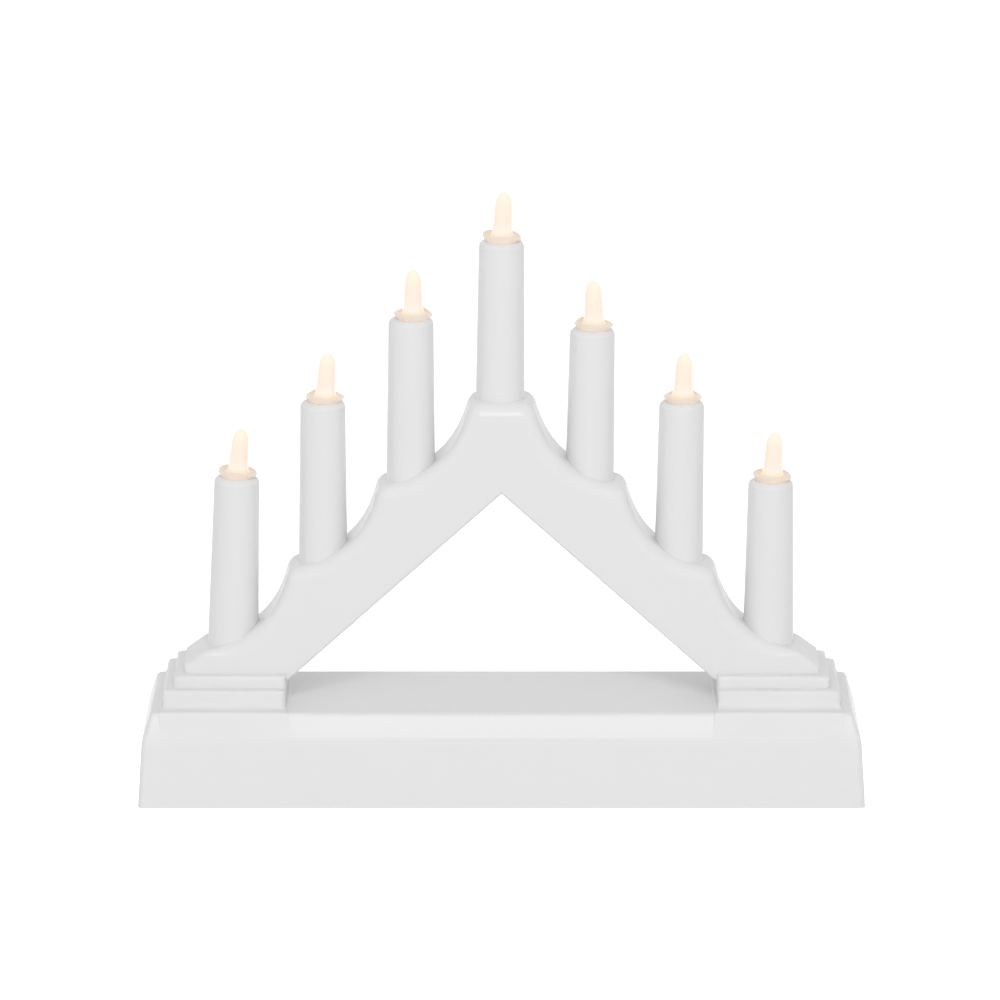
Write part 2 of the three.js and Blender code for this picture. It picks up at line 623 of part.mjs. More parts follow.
// Base
function addBaseHousing() {
  const whole = (x, y, z, radius = BASE_CORNER) => ring(-x, x, -y, y, z, radius);
  const edge = DECK_EDGE;
  const edgeOut = edge * CHAMFER_RUN / CHAMFER_RISE;
  const solids = [loft([whole(baseX, baseY, 0), whole(bandX, bandY, BAND_HEIGHT),
    whole(deckX + edgeOut, deckY + edgeOut, deckZ - edge), whole(deckX - edge, deckY - edge, deckZ)])];
  const flare = wallSlope * OVERRUN - BASE_WALL;
  const cavities = [loft([whole(baseX + flare, baseY + flare, -OVERRUN),
    whole(bandX - BASE_WALL, bandY - BASE_WALL, BAND_HEIGHT),
    whole(deckX - BASE_WALL, deckY - BASE_WALL, deckUnderside)])];
  const holes = [];
  const bosses = [];
  for (const sideX of [-1, 1]) {
    const between = (near, far, halfDepth, z, inset = 0) => {
      const ends = [sideX * (near + inset), sideX * (far - inset)].sort((a, b) => a - b);
      return ring(...ends, -halfDepth + inset, halfDepth - inset, z, BASE_CORNER / 2);
    };
    const step = (outer, depth, low, high) => loft([between(heelX, outer, depth / 2, low),
      between(heelX, outer, depth / 2, high - STEP_EDGE),
      between(heelX, outer, depth / 2, high, STEP_EDGE / 2)]);
    const room = (outer, depth, low, high) => loft([between(heelX, outer, depth / 2, low, BASE_WALL),
      between(heelX, outer, depth / 2, high, BASE_WALL)]);
    const saddleEnds = [sideX * (heelX - SADDLE_MARGIN), sideX * (lowerStepX + SADDLE_MARGIN)];
    const [saddleLeft, saddleRight] = saddleEnds.sort((a, b) => a - b);
    const saddle = (halfDepth, z) => ring(saddleLeft, saddleRight, -halfDepth, halfDepth, z, FIT);
    const saddleY = deckY + SADDLE_RISE;
    const saddleEdge = DECK_EDGE / 2;
    solids.push(loft([saddle(bandY, BAND_HEIGHT), saddle(saddleY, saddleZ - saddleEdge),
      saddle(saddleY - saddleEdge, saddleZ)]));
    solids.push(step(lowerStepX, LOWER_STEP_DEPTH, deckUnderside, lowerStepZ));
    solids.push(step(upperStepX, UPPER_STEP_DEPTH, deckUnderside, plinthZ));
    cavities.push(room(lowerStepX, LOWER_STEP_DEPTH, deckUnderside - OVERRUN, lowerStepZ - BASE_WALL));
    cavities.push(room(upperStepX, UPPER_STEP_DEPTH, deckUnderside - OVERRUN, plinthUnderside));
    for (const sideY of [-1, 1]) {
      const screwPlace = [sideX * archBossX, sideY * ARCH_BOSS_SPREAD];
      holes.push(post(...screwPlace, plinthUnderside - OVERRUN, plinthZ + OVERRUN, bossHole));
      const bossX = sideX * plateBossX;
      const bossY = sideY * plateBossY;
      bosses.push(post(bossX, bossY, plateTop, deckUnderside + FUSE, PLATE_BOSS_RADIUS));
      holes.push(post(bossX, bossY, plateTop - OVERRUN, plateTop + SCREW_BITE + FIT, bossHole));
    }
    for (const x of [archBossX, endX]) {
      holes.push(post(sideX * x, 0, plinthUnderside - OVERRUN, plinthZ + OVERRUN, PLINTH_PORT_RADIUS));
    }
  }
  const shell = cut(join(solids), cavities).add(join(bosses));
  place('base_housing', cut(shell, holes), WHITE_PLASTIC);
}

function addBasePlate() {
  const plate = loft([ring(-plateX, plateX, -plateY, plateY, PLATE_RECESS, BASE_CORNER),
    ring(-plateX, plateX, -plateY, plateY, plateTop, BASE_CORNER)]);
  const bay = block([bayLeft - BAY_WALL, -bayHalfWidth - BAY_WALL, plateTop - FUSE],
    [bayRight + BAY_WALL, bayHalfWidth + BAY_WALL, bayRoof + BAY_WALL]);
  const bayRoom = block([bayLeft, -bayHalfWidth, plateTop], [bayRight, bayHalfWidth, bayRoof]);
  const posts = [];
  for (const sign of [-1, 1]) {
    const x = BOARD_CENTRE + sign * (BOARD_LENGTH / 2 - POST_INSET);
    const y = sign * (BOARD_WIDTH / 2 - POST_INSET);
    posts.push(post(x, y, plateTop - FUSE, boardZ, POST_RADIUS));
    posts.push(post(x, y, plateTop, boardTop + FIT, POST_PIN_RADIUS));
  }
  const low = PLATE_RECESS - OVERRUN;
  const tab = TAB_WIDTH / 2 + FIT;
  const notchEnd = doorHoleRight + TAB_LENGTH + THUMB_NOTCH;
  const slotHalf = (SLIDER_LENGTH + SLIDER_TRAVEL) / 2 + FIT;
  const slotCentre = SWITCH_CENTRE + SLIDER_TRAVEL / 2;
  const cuts = [
    bayRoom,
    block([doorHoleLeft, -doorHoleHalf, low], [doorHoleRight, doorHoleHalf, plateTop + OVERRUN]),
    block([doorHoleRight - OVERRUN, -tab, low], [notchEnd, tab, PLATE_RECESS + TAB_THICKNESS + FIT]),
    roller(hingeX, hingeZ, -doorHoleHalf - HINGE_PIN_LENGTH, doorHoleHalf + HINGE_PIN_LENGTH,
      hingePinRadius + FIT),
    block([slotCentre - slotHalf, -SLIDER_WIDTH / 2 - FIT, low],
      [slotCentre + slotHalf, SLIDER_WIDTH / 2 + FIT, plateTop + OVERRUN]),
  ];
  for (const y of [-cellY, cellY]) {
    cuts.push(block([bayRight - OVERRUN, y - TAIL_WIDTH / 2 - FIT, cellZ - CONTACT_THICKNESS / 2 - FIT],
      [bayRight + BAY_WALL + OVERRUN, y + TAIL_WIDTH / 2 + FIT, cellZ + CONTACT_THICKNESS / 2 + FIT]));
  }
  for (const x of [-plateBossX, plateBossX]) {
    for (const y of [-plateBossY, plateBossY]) {
      cuts.push(post(x, y, low, plateTop + OVERRUN, bossHole));
      cuts.push(post(x, y, low, PLATE_RECESS + SCREW_HEAD, SCREW_HEAD_RADIUS + FIT));
    }
  }
  place('base_plate', cut(join([plate, bay, ...posts]), cuts), WHITE_PLASTIC);
}

function addBatteryDoor() {
  const half = doorHoleHalf - FIT;
  const end = doorHoleRight - FIT;
  const reach = half + HINGE_PIN_LENGTH;
  const door = join([
    block([hingeX, -half, PLATE_RECESS], [end, half, plateTop]),
    block([end - OVERRUN, -TAB_WIDTH / 2, PLATE_RECESS],
      [end + TAB_LENGTH, TAB_WIDTH / 2, PLATE_RECESS + TAB_THICKNESS]),
    roller(hingeX, hingeZ, -half, half, hingeRadius),
    roller(hingeX, hingeZ, -reach, reach, hingePinRadius),
  ]);
  place('battery_door', door, WHITE_PLASTIC);
}

// Screw that points up, with its head's underside at the origin
function screwSolid(length) {
  const profile = [[0, -SCREW_HEAD], [SCREW_CROWN_RADIUS, -SCREW_HEAD],
    [SCREW_HEAD_RADIUS, -SCREW_HEAD / 2], [SCREW_HEAD_RADIUS, 0], [SCREW_RADIUS, 0],
    [SCREW_RADIUS, length - SCREW_RADIUS], [0, length]];
  return turned(profile, SMALL_ROUND);
}

function addScrews() {
  const signs = [[-1, -1], [1, -1], [-1, 1], [1, 1]];
  const plateScrew = screwSolid(PLATE_THICKNESS - SCREW_HEAD + SCREW_BITE);
  const archScrew = screwSolid(BASE_WALL + SCREW_BITE);
  signs.forEach(([x, y], i) => {
    const low = place(`plate_screw_${i + 1}`, plateScrew, STEEL);
    low.position.set(x * plateBossX, y * plateBossY, PLATE_RECESS + SCREW_HEAD);
    const high = place(`arch_screw_${i + 1}`, archScrew, STEEL);
    high.position.set(x * archBossX, y * ARCH_BOSS_SPREAD, plinthUnderside);
  });
}

// Cells, contacts and springs
function cellSolid() {
  return turned([[0, 0], [CELL_RADIUS - CELL_EDGE, 0], [CELL_RADIUS, CELL_EDGE],
    [CELL_RADIUS, CELL_BODY - CELL_EDGE], [CELL_RADIUS - CELL_EDGE, CELL_BODY], [CELL_NUB_RADIUS, CELL_BODY],
    [CELL_NUB_RADIUS, CELL_BODY + CELL_NUB], [0, CELL_BODY + CELL_NUB]], ROUND);
}

// Cone-shaped coil that stands on its wide end
function springSolid() {
  const low = SPRING_WIRE;
  const high = SPRING_LENGTH - SPRING_WIRE;
  const steps = SPRING_CURLS * CURL_STEPS;
  const point = (share) => {
    const angle = share * SPRING_CURLS * 2 * Math.PI;
    const radius = SPRING_BASE_RADIUS + (SPRING_TIP_RADIUS - SPRING_BASE_RADIUS) * share;
    return new THREE.Vector3(radius * Math.cos(angle), radius * Math.sin(angle), low + (high - low) * share);
  };
  let least = Infinity;
  for (let i = 0; i <= steps; i++) {
    for (let j = i + CURL_STEPS / 2; j <= steps; j++) {
      least = Math.min(least, point(i / steps).distanceTo(point(j / steps)) - 2 * SPRING_WIRE);
    }
  }
  console.log(`battery spring, least gap between its curls: ${least.toFixed(2)} mm`);
  const coil = new THREE.Curve();
  coil.getPoint = point;
  return sweep(coil, SPRING_WIRE, steps, SPRING_SIDES);
}

function addPower() {
  const cell = cellSolid();
  const spring = springSolid();
  const cellPlaces = [[-1, bayLeft], [1, bayRight]];
  cellPlaces.forEach(([side, springEnd], i) => {
    const facing = -side * Math.PI / 2;
    const wall = springEnd - side * CONTACT_THICKNESS;
    const battery = place(`battery_${i + 1}`, cell, CELL_SLEEVE);
    battery.position.set(wall - side * (SPRING_LENGTH + FIT), side * cellY, cellZ);
    battery.rotation.y = facing;
    const coil = place(`battery_spring_${i + 1}`, spring, STEEL);
    coil.position.set(wall - side * FIT / 2, side * cellY, cellZ);
    coil.rotation.y = facing;
  });

  const half = CONTACT_SIZE / 2;
  const bridge = block([bayLeft, -cellY - half, cellZ - half],
    [bayLeft + CONTACT_THICKNESS, cellY + half, cellZ + half]);
  place('contact_bridge', bridge, STEEL);
  const names = ['contact_positive', 'contact_negative'];
  [-cellY, cellY].forEach((y, i) => {
    const pad = block([bayRight - CONTACT_THICKNESS, y - half, cellZ - half],
      [bayRight, y + half, cellZ + half]);
    const tail = block([bayRight - CONTACT_THICKNESS, y - TAIL_WIDTH / 2, cellZ - CONTACT_THICKNESS / 2],
      [bayRight + BAY_WALL + TAIL_LENGTH, y + TAIL_WIDTH / 2, cellZ + CONTACT_THICKNESS / 2]);
    place(names[i], pad.add(tail), STEEL);
  });
}

// Switch and circuit board
function addSwitch() {
  const half = SWITCH_LENGTH / 2;
  const centre = SWITCH_CENTRE + SLIDER_TRAVEL / 2;
  const roomHalf = (shoeLength + SLIDER_TRAVEL) / 2 + FIT;
  const box = block([centre - half, -SWITCH_WIDTH / 2, plateTop],
    [centre + half, SWITCH_WIDTH / 2, switchTop]);
  const room = block([centre - roomHalf, -shoeWidth / 2 - FIT, plateTop - OVERRUN],
    [centre + roomHalf, shoeWidth / 2 + FIT, shoeTop + FIT]);
  const terminals = [-1, 0, 1].map((side) => {
    const x = centre + side * TERMINAL_SPREAD;
    return block([x - TERMINAL_SIZE / 2, -TERMINAL_SIZE / 2, switchTop - FUSE],
      [x + TERMINAL_SIZE / 2, TERMINAL_SIZE / 2, switchTop + TERMINAL_LENGTH]);
  });
  place('switch_body', join([box.subtract(room), ...terminals]), BLACK_PLASTIC);

  const knob = block([SWITCH_CENTRE - SLIDER_LENGTH / 2, -SLIDER_WIDTH / 2, PLATE_RECESS - SLIDER_PROUD],
    [SWITCH_CENTRE + SLIDER_LENGTH / 2, SLIDER_WIDTH / 2, shoeTop]);
  const shoe = block([SWITCH_CENTRE - shoeLength / 2, -shoeWidth / 2, plateTop + FIT],
    [SWITCH_CENTRE + shoeLength / 2, shoeWidth / 2, shoeTop]);
  place('switch_slider', knob.add(shoe), BLACK_PLASTIC);
}

function addBoard() {
  const board = block([BOARD_CENTRE - BOARD_LENGTH / 2, -BOARD_WIDTH / 2, boardZ],
    [BOARD_CENTRE + BOARD_LENGTH / 2, BOARD_WIDTH / 2, boardTop]);
  const holes = [-1, 1].map((sign) => post(BOARD_CENTRE + sign * (BOARD_LENGTH / 2 - POST_INSET),
    sign * (BOARD_WIDTH / 2 - POST_INSET), boardZ - OVERRUN, boardTop + OVERRUN, POST_PIN_RADIUS + FIT));
  place('circuit_board', cut(board, holes), BOARD_GREEN);

  const chip = block([-CHIP_LENGTH / 2, -CHIP_WIDTH / 2, 0], [CHIP_LENGTH / 2, CHIP_WIDTH / 2, CHIP_HEIGHT]);
  place('timer_chip', chip, BLACK_PLASTIC).position.set(BOARD_CENTRE + CHIP_PLACE, 0, boardTop);
  const end = RESISTOR_LENGTH / 2;
  const bulge = end - RESISTOR_RADIUS;
  const shoulder = bulge + RESISTOR_RADIUS / 2;
  const profile = [[0, -end], [RESISTOR_RADIUS, -shoulder], [RESISTOR_WAIST, -bulge / 2],
    [RESISTOR_WAIST, bulge / 2], [RESISTOR_RADIUS, shoulder], [0, end]];
  const resistor = turned(profile, SMALL_ROUND);
  const body = place('resistor', resistor, RESISTOR_BODY);
  body.position.set(BOARD_CENTRE + RESISTOR_PLACE, 0, boardTop + RESISTOR_RADIUS + FIT / 2);
  body.rotation.x = Math.PI / 2;
}

// Wires
function addHarness() {
  const trunkZ = (x) => gableZ - gableSlope * Math.abs(x) + TRUNK_LIFT;
  const low = deckZ + WIRE_RADIUS + FIT;
  const inner = endX - CANDLE_PITCH;
  const half = [];
  for (let step = SIDE_CANDLES - 1; step > 0; step--) {
    half.push([step * CANDLE_PITCH, 0, trunkZ(step * CANDLE_PITCH)]);
  }
  const leg = (archBossX + inner) / 2;
  const rightRun = [...half.reverse(), [leg, 0, trunkZ(leg)], [archBossX, 0, plinthZ + WIRE_RADIUS],
    [archBossX, 0, plinthUnderside], [archBossX + PLINTH_PORT_RADIUS, 0, low], [endX, 0, low]];
  const leftRun = rightRun.map(([x, y, z]) => [-x, y, z]).reverse();
  const crown = [0, 0, trunkZ(0)];
  const strands = [wire([...leftRun, crown, ...rightRun], WIRE_RADIUS)];
  CANDLES.forEach((candle, index) => {
    const x = shelfX(index);
    const start = new THREE.Vector3(x, 0, isEnd(index) ? low : trunkZ(x));
    const end = lightTip(index).localToWorld(new THREE.Vector3(0, 0, -SPIGOT_LENGTH));
    strands.push(sweep(new THREE.LineCurve3(start, end), WIRE_RADIUS, 1));
  });
  const boardEnd = BOARD_CENTRE + BOARD_LENGTH / 2 - POST_INSET;
  strands.push(wire([[endX, 0, low], [archBossX, 0, deckUnderside - WIRE_RADIUS - OVERRUN],
    [(archBossX + boardEnd) / 2, 0, deckUnderside / 2 + boardTop / 2], [boardEnd, 0, boardTop + WIRE_RISE],
    [boardEnd, 0, boardTop + FIT]], WIRE_RADIUS));
  place('wiring_harness', join(strands), WHITE_WIRE);
}

function addLeads() {
  const boardLeft = BOARD_CENTRE - BOARD_LENGTH / 2;
  const tailEnd = bayRight + BAY_WALL + TAIL_LENGTH + FIT;
  const names = [['positive_lead', -1, RED_WIRE], ['negative_lead', 1, BLACK_WIRE]];
  for (const [name, side, finish] of names) {
    const land = [boardLeft + 2 * LEAD_RADIUS, side * BOARD_WIDTH / 4];
    place(name, wire([[tailEnd, side * cellY, cellZ], [tailEnd + LEAD_RISE, side * cellY, cellZ],
      [...land, boardTop + LEAD_RISE], [...land, boardTop + FIT]], LEAD_RADIUS), finish);
  }
  const boardRight = BOARD_CENTRE + BOARD_LENGTH / 2 - 2 * LEAD_RADIUS;
  const switchX = SWITCH_CENTRE + SLIDER_TRAVEL / 2;
  [-1, 1].forEach((side, i) => {
    const terminal = switchX + (i - 1) * TERMINAL_SPREAD;
    const high = switchTop + TERMINAL_LENGTH + FIT;
    const land = [boardRight, side * BOARD_WIDTH / 4];
    place(`switch_lead_${i + 1}`, wire([[terminal, 0, high], [terminal, 0, high + LEAD_RISE],
      [(terminal + boardRight) / 2, land[1], high + LEAD_RISE],
      [...land, boardTop + LEAD_RISE], [...land, boardTop + FIT]], LEAD_RADIUS), RED_WIRE);
  });
}

addBaseHousing();
addBasePlate();
addBatteryDoor();
addScrews();
addPower();
addSwitch();
addBoard();
addArch();
addCandles();
addHarness();
addLeads();

export default object;
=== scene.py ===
import json
import math

import bmesh
import bpy
from mathutils import Matrix, Vector


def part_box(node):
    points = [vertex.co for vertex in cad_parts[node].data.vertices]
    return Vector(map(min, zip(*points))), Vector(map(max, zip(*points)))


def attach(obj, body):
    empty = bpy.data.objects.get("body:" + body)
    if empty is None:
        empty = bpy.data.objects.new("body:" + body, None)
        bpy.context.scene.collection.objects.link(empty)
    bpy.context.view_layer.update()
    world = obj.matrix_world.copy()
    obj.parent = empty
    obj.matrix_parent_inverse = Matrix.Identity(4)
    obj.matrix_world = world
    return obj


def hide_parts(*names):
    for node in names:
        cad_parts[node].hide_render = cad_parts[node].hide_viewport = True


# A white candle arch with seven LED candles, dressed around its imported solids.
# Lengths are millimetres until a mesh is finished, then metres. +X is right, -Y is the front, +Z is up.

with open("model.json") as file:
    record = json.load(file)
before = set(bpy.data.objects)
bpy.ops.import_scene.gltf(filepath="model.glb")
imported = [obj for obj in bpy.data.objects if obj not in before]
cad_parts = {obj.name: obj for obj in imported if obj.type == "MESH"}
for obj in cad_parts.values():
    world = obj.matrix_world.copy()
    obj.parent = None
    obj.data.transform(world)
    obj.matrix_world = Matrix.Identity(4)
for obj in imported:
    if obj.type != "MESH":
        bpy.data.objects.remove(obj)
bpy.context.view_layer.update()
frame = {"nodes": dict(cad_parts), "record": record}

MM = 0.001
SAME_POINT = 0.002          # closer than this is one point
BODY = "arch_and_base"
FIT = 0.3                   # between a piece and the hole that holds it
SNUG = 0.01                 # between pieces that close up tight: candle and arch, heel and plinth
FUSE = 0.5                  # how deep one solid sinks into the next where they are one moulding
OVERRUN = 1.0               # how far a cutter runs past the face that it opens

# Candles, left to right: how far the tube is off its place along the arch, how far it stands proud and its
# lean in degrees, then how far its light tip is off the tube's axis and how much further it leans
CANDLES = [(-0.6, 3.1, 1.85, 0.15, 3.4), (-0.05, 1.05, 0.3, 0.55, 4.0), (-0.4, 1.1, 0.3, 0.6, 0.0),
           (-0.45, -0.6, 0.5, 0.0, 2.5), (-0.55, -1.9, 0.85, 0.4, -1.8), (-0.45, 1.05, 0.7, 0.25, 1.3),
           (-0.05, 2.05, 0.3, 0.35, 2.4)]
CUP_TILTS = [4.9, 3.0, 0.5, 4.5, 3.2, -0.2, 4.0]       # degrees, positive lifts the left side
CANDLE_PITCH = 25.8
SHELF_RISE = 24.45
SIDE_CANDLES = 3
TUBE_LENGTH = 52.15
TUBE_FOOT_RADIUS = 7.1
END_TUBE_FOOT_RADIUS = 7.4
TUBE_TOP_RADIUS = 6.45
TUBE_WALL = 1.2
TUBE_SHOULDER = 1.7
TUBE_INSERT = 6.0
SPIGOT_RADIUS = 2.75
SPIGOT_LENGTH = 4.0
TIP_PLAY = 0.95             # round the spigot, as the tips sit a little off the middle

# Light tip and drip cup
FLAME_HEIGHT = 14.2
FLAME_RADIUS = 2.5          # below the pointed end
FLAME_FOOT_RADIUS = 2.75    # above the skirt
FLAME_POINT = 4.6
SKIRT_RADIUS = 3.4
SKIRT_FOOT = 1.4
SKIRT_TOP = 4.4
SKIRT_CURVE = 2.2           # power by which the skirt's flare dies away
CUP_RADIUS = 5.55
CUP_UNDERSIDE = [(4.6, 0.05), (5.0, 0.5), (5.3, 0.95), (CUP_RADIUS, 1.35)]       # radius and height
CUP_LIP = [(CUP_RADIUS + 0.07, 1.62), (CUP_RADIUS - 0.08, 1.86), (5.1, 1.9), (4.6, 1.75), (4.0, 1.55)]
CUP_RIM = 0.8               # share of the cup's shades that lies inside the rim; the rest of the scale is painted light on the underside
CUP_WAVE = 0.24
CUP_WAVES = 3
CUP_TURN = 2                # radians from one cup's waves to the next one's
CUP_BOW = 0.35              # front and back of the rim bend up, its sides down
LED_BORE = 1.8
LED_BORE_TOP = 3.6
LED_FLANGE_BORE = 2.1
LED_FLANGE_TOP = -2.5

# Arch
ARCH_DEPTH = 20.4
ARCH_WALL = 1.8
ARCH_EDGE_RADIUS = 4.0
GABLE_EDGE_RADIUS = 0.9
CROWN_DEPTH = 26.6
FOOT_SHELF_HEIGHT = 6.8
CROWN_REACH = 9.0
SHELF_REACH = 9.8
SHELF_FALL = 0.55
SHELF_CORNER = 4.4
SWEEP_REACH = 15.1
SWEEP_DROP = 21.5
FOOT_REACH = 8.7
FOOT_FALL = 0.45
FOOT_CORNER = 5.0
TOE_REACH = 14.5
TOE_HEIGHT = 2.1
CRISP_START = 1.5           # outside the end candle's axis, where the crest's edge starts to sharpen
CRISP_END = 6.5
CRISP_SHARE = 0.45          # of the edge's radius that is left at the toe
HEEL_REACH = 15.0
HEEL_DROP = 2.6
HEEL_BLUNT = 1.1            # width of the flat that ends the heel
SEAT_WIDTH = 17.0
SEAT_THICKNESS = 1.4
SEAT_PORT_RADIUS = 2.8

# Base, its steps with the margin by which each stands out beyond what it carries
UPPER_STEP = {"margin": 2.9, "depth": 27.5, "height": 3.4}
LOWER_STEP = {"margin": 2.95, "depth": 33.9, "height": 5.1}
STEP_EDGE = 1.0
STEP_CORNER = 1.4
FLARE = 1.65
FLARE_END = 0.4
FLARE_HEIGHT = 1.6
SADDLE_RISE = 0.25
SADDLE_MARGIN = 1.1
SADDLE_SLANT = 0.7
SADDLE_EDGE = 0.32
SADDLE_TUCK = 0.075         # how far the saddle's foot lies inside the band
UPRIGHT_RISE = 1.0          # an edge that rises more than this counts as upright
DECK_MARGIN = 3.35
DECK_DEPTH = 42.0
DECK_EDGE = 1.0
CHAMFER_RUN = 2.6
CHAMFER_RISE = 8.0
BAND_DRAFT = 1.25
BAND_HEIGHT = 19.5
BAND_EDGE = 1.6
BASE_WALL = 2.0
BASE_CORNER = 1.6
PLATE_TOP = 4.2
PLATE_SCREW_X = 95.95
PLATE_SCREW_Y = 18.35
PLATE_BOSS_RADIUS = 3.0
ARCH_SCREW_X = 67.7
ARCH_SCREW_Y = 4.4
SCREW_HOLE = 1.3
SCREW_BITE = 7.3
WIRE_PORT = 1.9

# Underside: screws, battery door, switch knob, cells and springs
PLATE_RECESS = 1.8
SCREW_HEAD = 1.4
SCREW_PROFILE = [(0, -SCREW_HEAD), (0.9, -1.35), (1.5, -1.1), (1.85, -0.7), (2.0, -0.25), (2.0, 0), (1.0, 0),
                 (1.0, 7.0), (0, 8.0)]          # radius and height, from the head's underside
CROSS_REACH = 1.15
CROSS_WIDTH = 0.5
CROSS_DEPTH = 0.8
HINGE_X = -64.05
HINGE_Z = 3.0
HINGE_RADIUS = 1.2
PIN_RADIUS = 0.6
PIN_LENGTH = 1.5
DOOR_END = -10.75
DOOR_HALF = 13.5
DOOR_EDGE = 0.35
TAB_WIDTH = 10.0
TAB_LENGTH = 2.5
TAB_THICKNESS = 1.2
KNOB_X = 60.0
KNOB_LENGTH = 5.0
KNOB_WIDTH = 3.0
KNOB_FOOT = 1.0
SHOE_MARGIN = 0.8
SHOE_FOOT = 4.5
SHOE_TOP = 6.3
KNOB_CORNER = 0.3
GROOVES = 3
GROOVE_PITCH = 1.3
GROOVE_WIDTH = 0.6
GROOVE_DEPTH = 0.4
CELL_PROFILE = [(0, 0), (4.6, 0), (4.9, 0.3), (5.8, 0.3), (6.0, 0.1), (6.7, 0.15), (7.1, 0.7), (7.1, 48.5),
                (6.7, 49.1), (6.0, 49.15), (5.8, 48.9), (3.3, 48.9), (2.7, 49.1), (2.7, 50.1), (2.4, 50.5),
                (0, 50.5)]                      # radius and height, from the flat end
SLEEVE_INNER = 6.0
SPRING_LENGTH = 5.0
SPRING_BASE_RADIUS = 4.2
SPRING_TIP_RADIUS = 2.6
SPRING_WIRE = 0.4
SPRING_CURLS = 3

# Smoothness
TUBE_SIDES = 64
FLAME_SIDES = 48
ARC_STEPS = 8
SWEEP_STEPS = 20
EDGE_STEPS = 6
SMALL_EDGE_STEPS = 4
SCREW_SIDES = 24
CURL_STEPS = 24
WIRE_SIDES = 10
SHARP_ANGLE = math.radians(32)

# Finishes: scales and detail of the patterns, limits of the roughness, and relief as strength and metres
WAVE_SCALE = 45.0
WAVE_RELIEF = (0.02, 0.0008)
GLOSS_SCALE = 160.0
GLOSS_DETAIL = 4.0
SKIN_ROUGHNESS = 0.1
ROLLING_SCALE = 900.0
ROLLING_DETAIL = 5.0
ROLLING_ROUGHNESS = (0.22, 0.4)
ROLLING_RELIEF = (0.08, 0.0002)
MILK_SCALE = 220.0
MILK_ROUGHNESS = (0.24, 0.36)
FLOW_SCALE = 300.0
FLOW_ROUGHNESS = (0.08, 0.16)
RESIN_CLARITY = 0.6

# Stage, in metres and watts
FLOOR_REACH = 6
FLOOR_GAP = 0.00005         # so that the rim and the floor are not in one plane
FLOOR_SHADE = (0.9, 0.9, 0.9, 1)
FLOOR_ROUGHNESS = 0.9
FLOOR_GLOW = 0.6
PURE_WHITE = (1, 1, 1, 1)
LIGHT_ABOVE = 0.55          # strength of the world's upper half
LIGHT_BELOW = 0.71
LAMP_AIM = (0, 0, 0.08)
KEY_LAMP = ((0.0, -1.3, 1.35), 0.9, 0.5, 8.6)            # each lamp's place, width, height and power
FILL_LAMP = ((0.0, -2.2, 0.62), 1.2, 0.5, 5.4)
LEFT_LAMP = ((-1.6, -0.9, 0.45), 0.9, 0.9, 2.5)
RIGHT_LAMP = ((1.6, -0.9, 0.45), 0.9, 0.9, 2.5)
REAR_LAMP = ((0.0, 1.7, 0.9), 1.4, 0.7, 3.0)
SHOULDER_GLEAM = ((0.0, -2.2, 0.88), 1.4, 0.3, 6.0)
ARCH_GLEAM = ((0.0, -2.2, 1.0), 0.45, 1.1, 8.5)
LENS = 224.28               # millimetres, as is the sensor
SENSOR = 36.0
CAMERA_PLACE = (-0.00045, -1.7328, 0.5659)
CAMERA_TILT = 74.502        # degrees, 90 looks level

# Places that follow from the sizes
END_X = SIDE_CANDLES * CANDLE_PITCH
TOE_X = END_X + TOE_REACH
HEEL_X = END_X - HEEL_REACH
UPPER_STEP_X = TOE_X + UPPER_STEP["margin"]
LOWER_STEP_X = UPPER_STEP_X + LOWER_STEP["margin"]
DECK_X = LOWER_STEP_X + DECK_MARGIN
BAND_X = DECK_X + CHAMFER_RUN
BASE_X = BAND_X + BAND_DRAFT
DECK_Y = DECK_DEPTH / 2
BAND_Y = DECK_Y + CHAMFER_RUN
BASE_Y = BAND_Y + BAND_DRAFT
DECK_Z = BAND_HEIGHT + CHAMFER_RISE
SADDLE_Z = DECK_Z + SADDLE_RISE
LOWER_STEP_Z = SADDLE_Z + LOWER_STEP["height"]
PLINTH_Z = LOWER_STEP_Z + UPPER_STEP["height"]
DECK_UNDERSIDE = DECK_Z - BASE_WALL
CROWN_Z = PLINTH_Z + FOOT_SHELF_HEIGHT + SIDE_CANDLES * SHELF_RISE
GABLE_Z = CROWN_Z - CROWN_DEPTH
GABLE_SLOPE = (GABLE_Z - PLINTH_Z + HEEL_DROP) / (HEEL_X - FIT)
HEEL = HEEL_X - SNUG
HEEL_TIP = (HEEL - HEEL_BLUNT, GABLE_Z - GABLE_SLOPE * (HEEL - HEEL_BLUNT))


def candle_place(index):
    """Matrix that stands a candle on its seat, with its lean."""
    along, proud, lean, _, _ = CANDLES[index]
    side = index - SIDE_CANDLES
    shelf = CROWN_Z - abs(side) * SHELF_RISE
    seat = Vector((side * CANDLE_PITCH + along, 0, shelf - TUBE_INSERT + proud + FIT))
    return Matrix.Translation(seat) @ Matrix.Rotation(math.radians(lean), 4, "Y")


def foot_radius(index):
    """Radius of a tube's foot: the end candles are a little stouter."""
    return END_TUBE_FOOT_RADIUS if abs(index - SIDE_CANDLES) == SIDE_CANDLES else TUBE_FOOT_RADIUS


# Meshes

def clean(bm):
    """Merge points that lie together and turn the faces outwards."""
    bmesh.ops.remove_doubles(bm, verts=bm.verts, dist=SAME_POINT)
    bmesh.ops.recalc_face_normals(bm, faces=bm.faces)


def round_edges(bm, edges, radius, segments):
    """Round edges over, past their neighbours if need be."""
    bmesh.ops.bevel(bm, geom=edges, offset=radius, offset_type="OFFSET", segments=segments, profile=0.5,
                    affect="EDGES", clamp_overlap=False, material=-1)


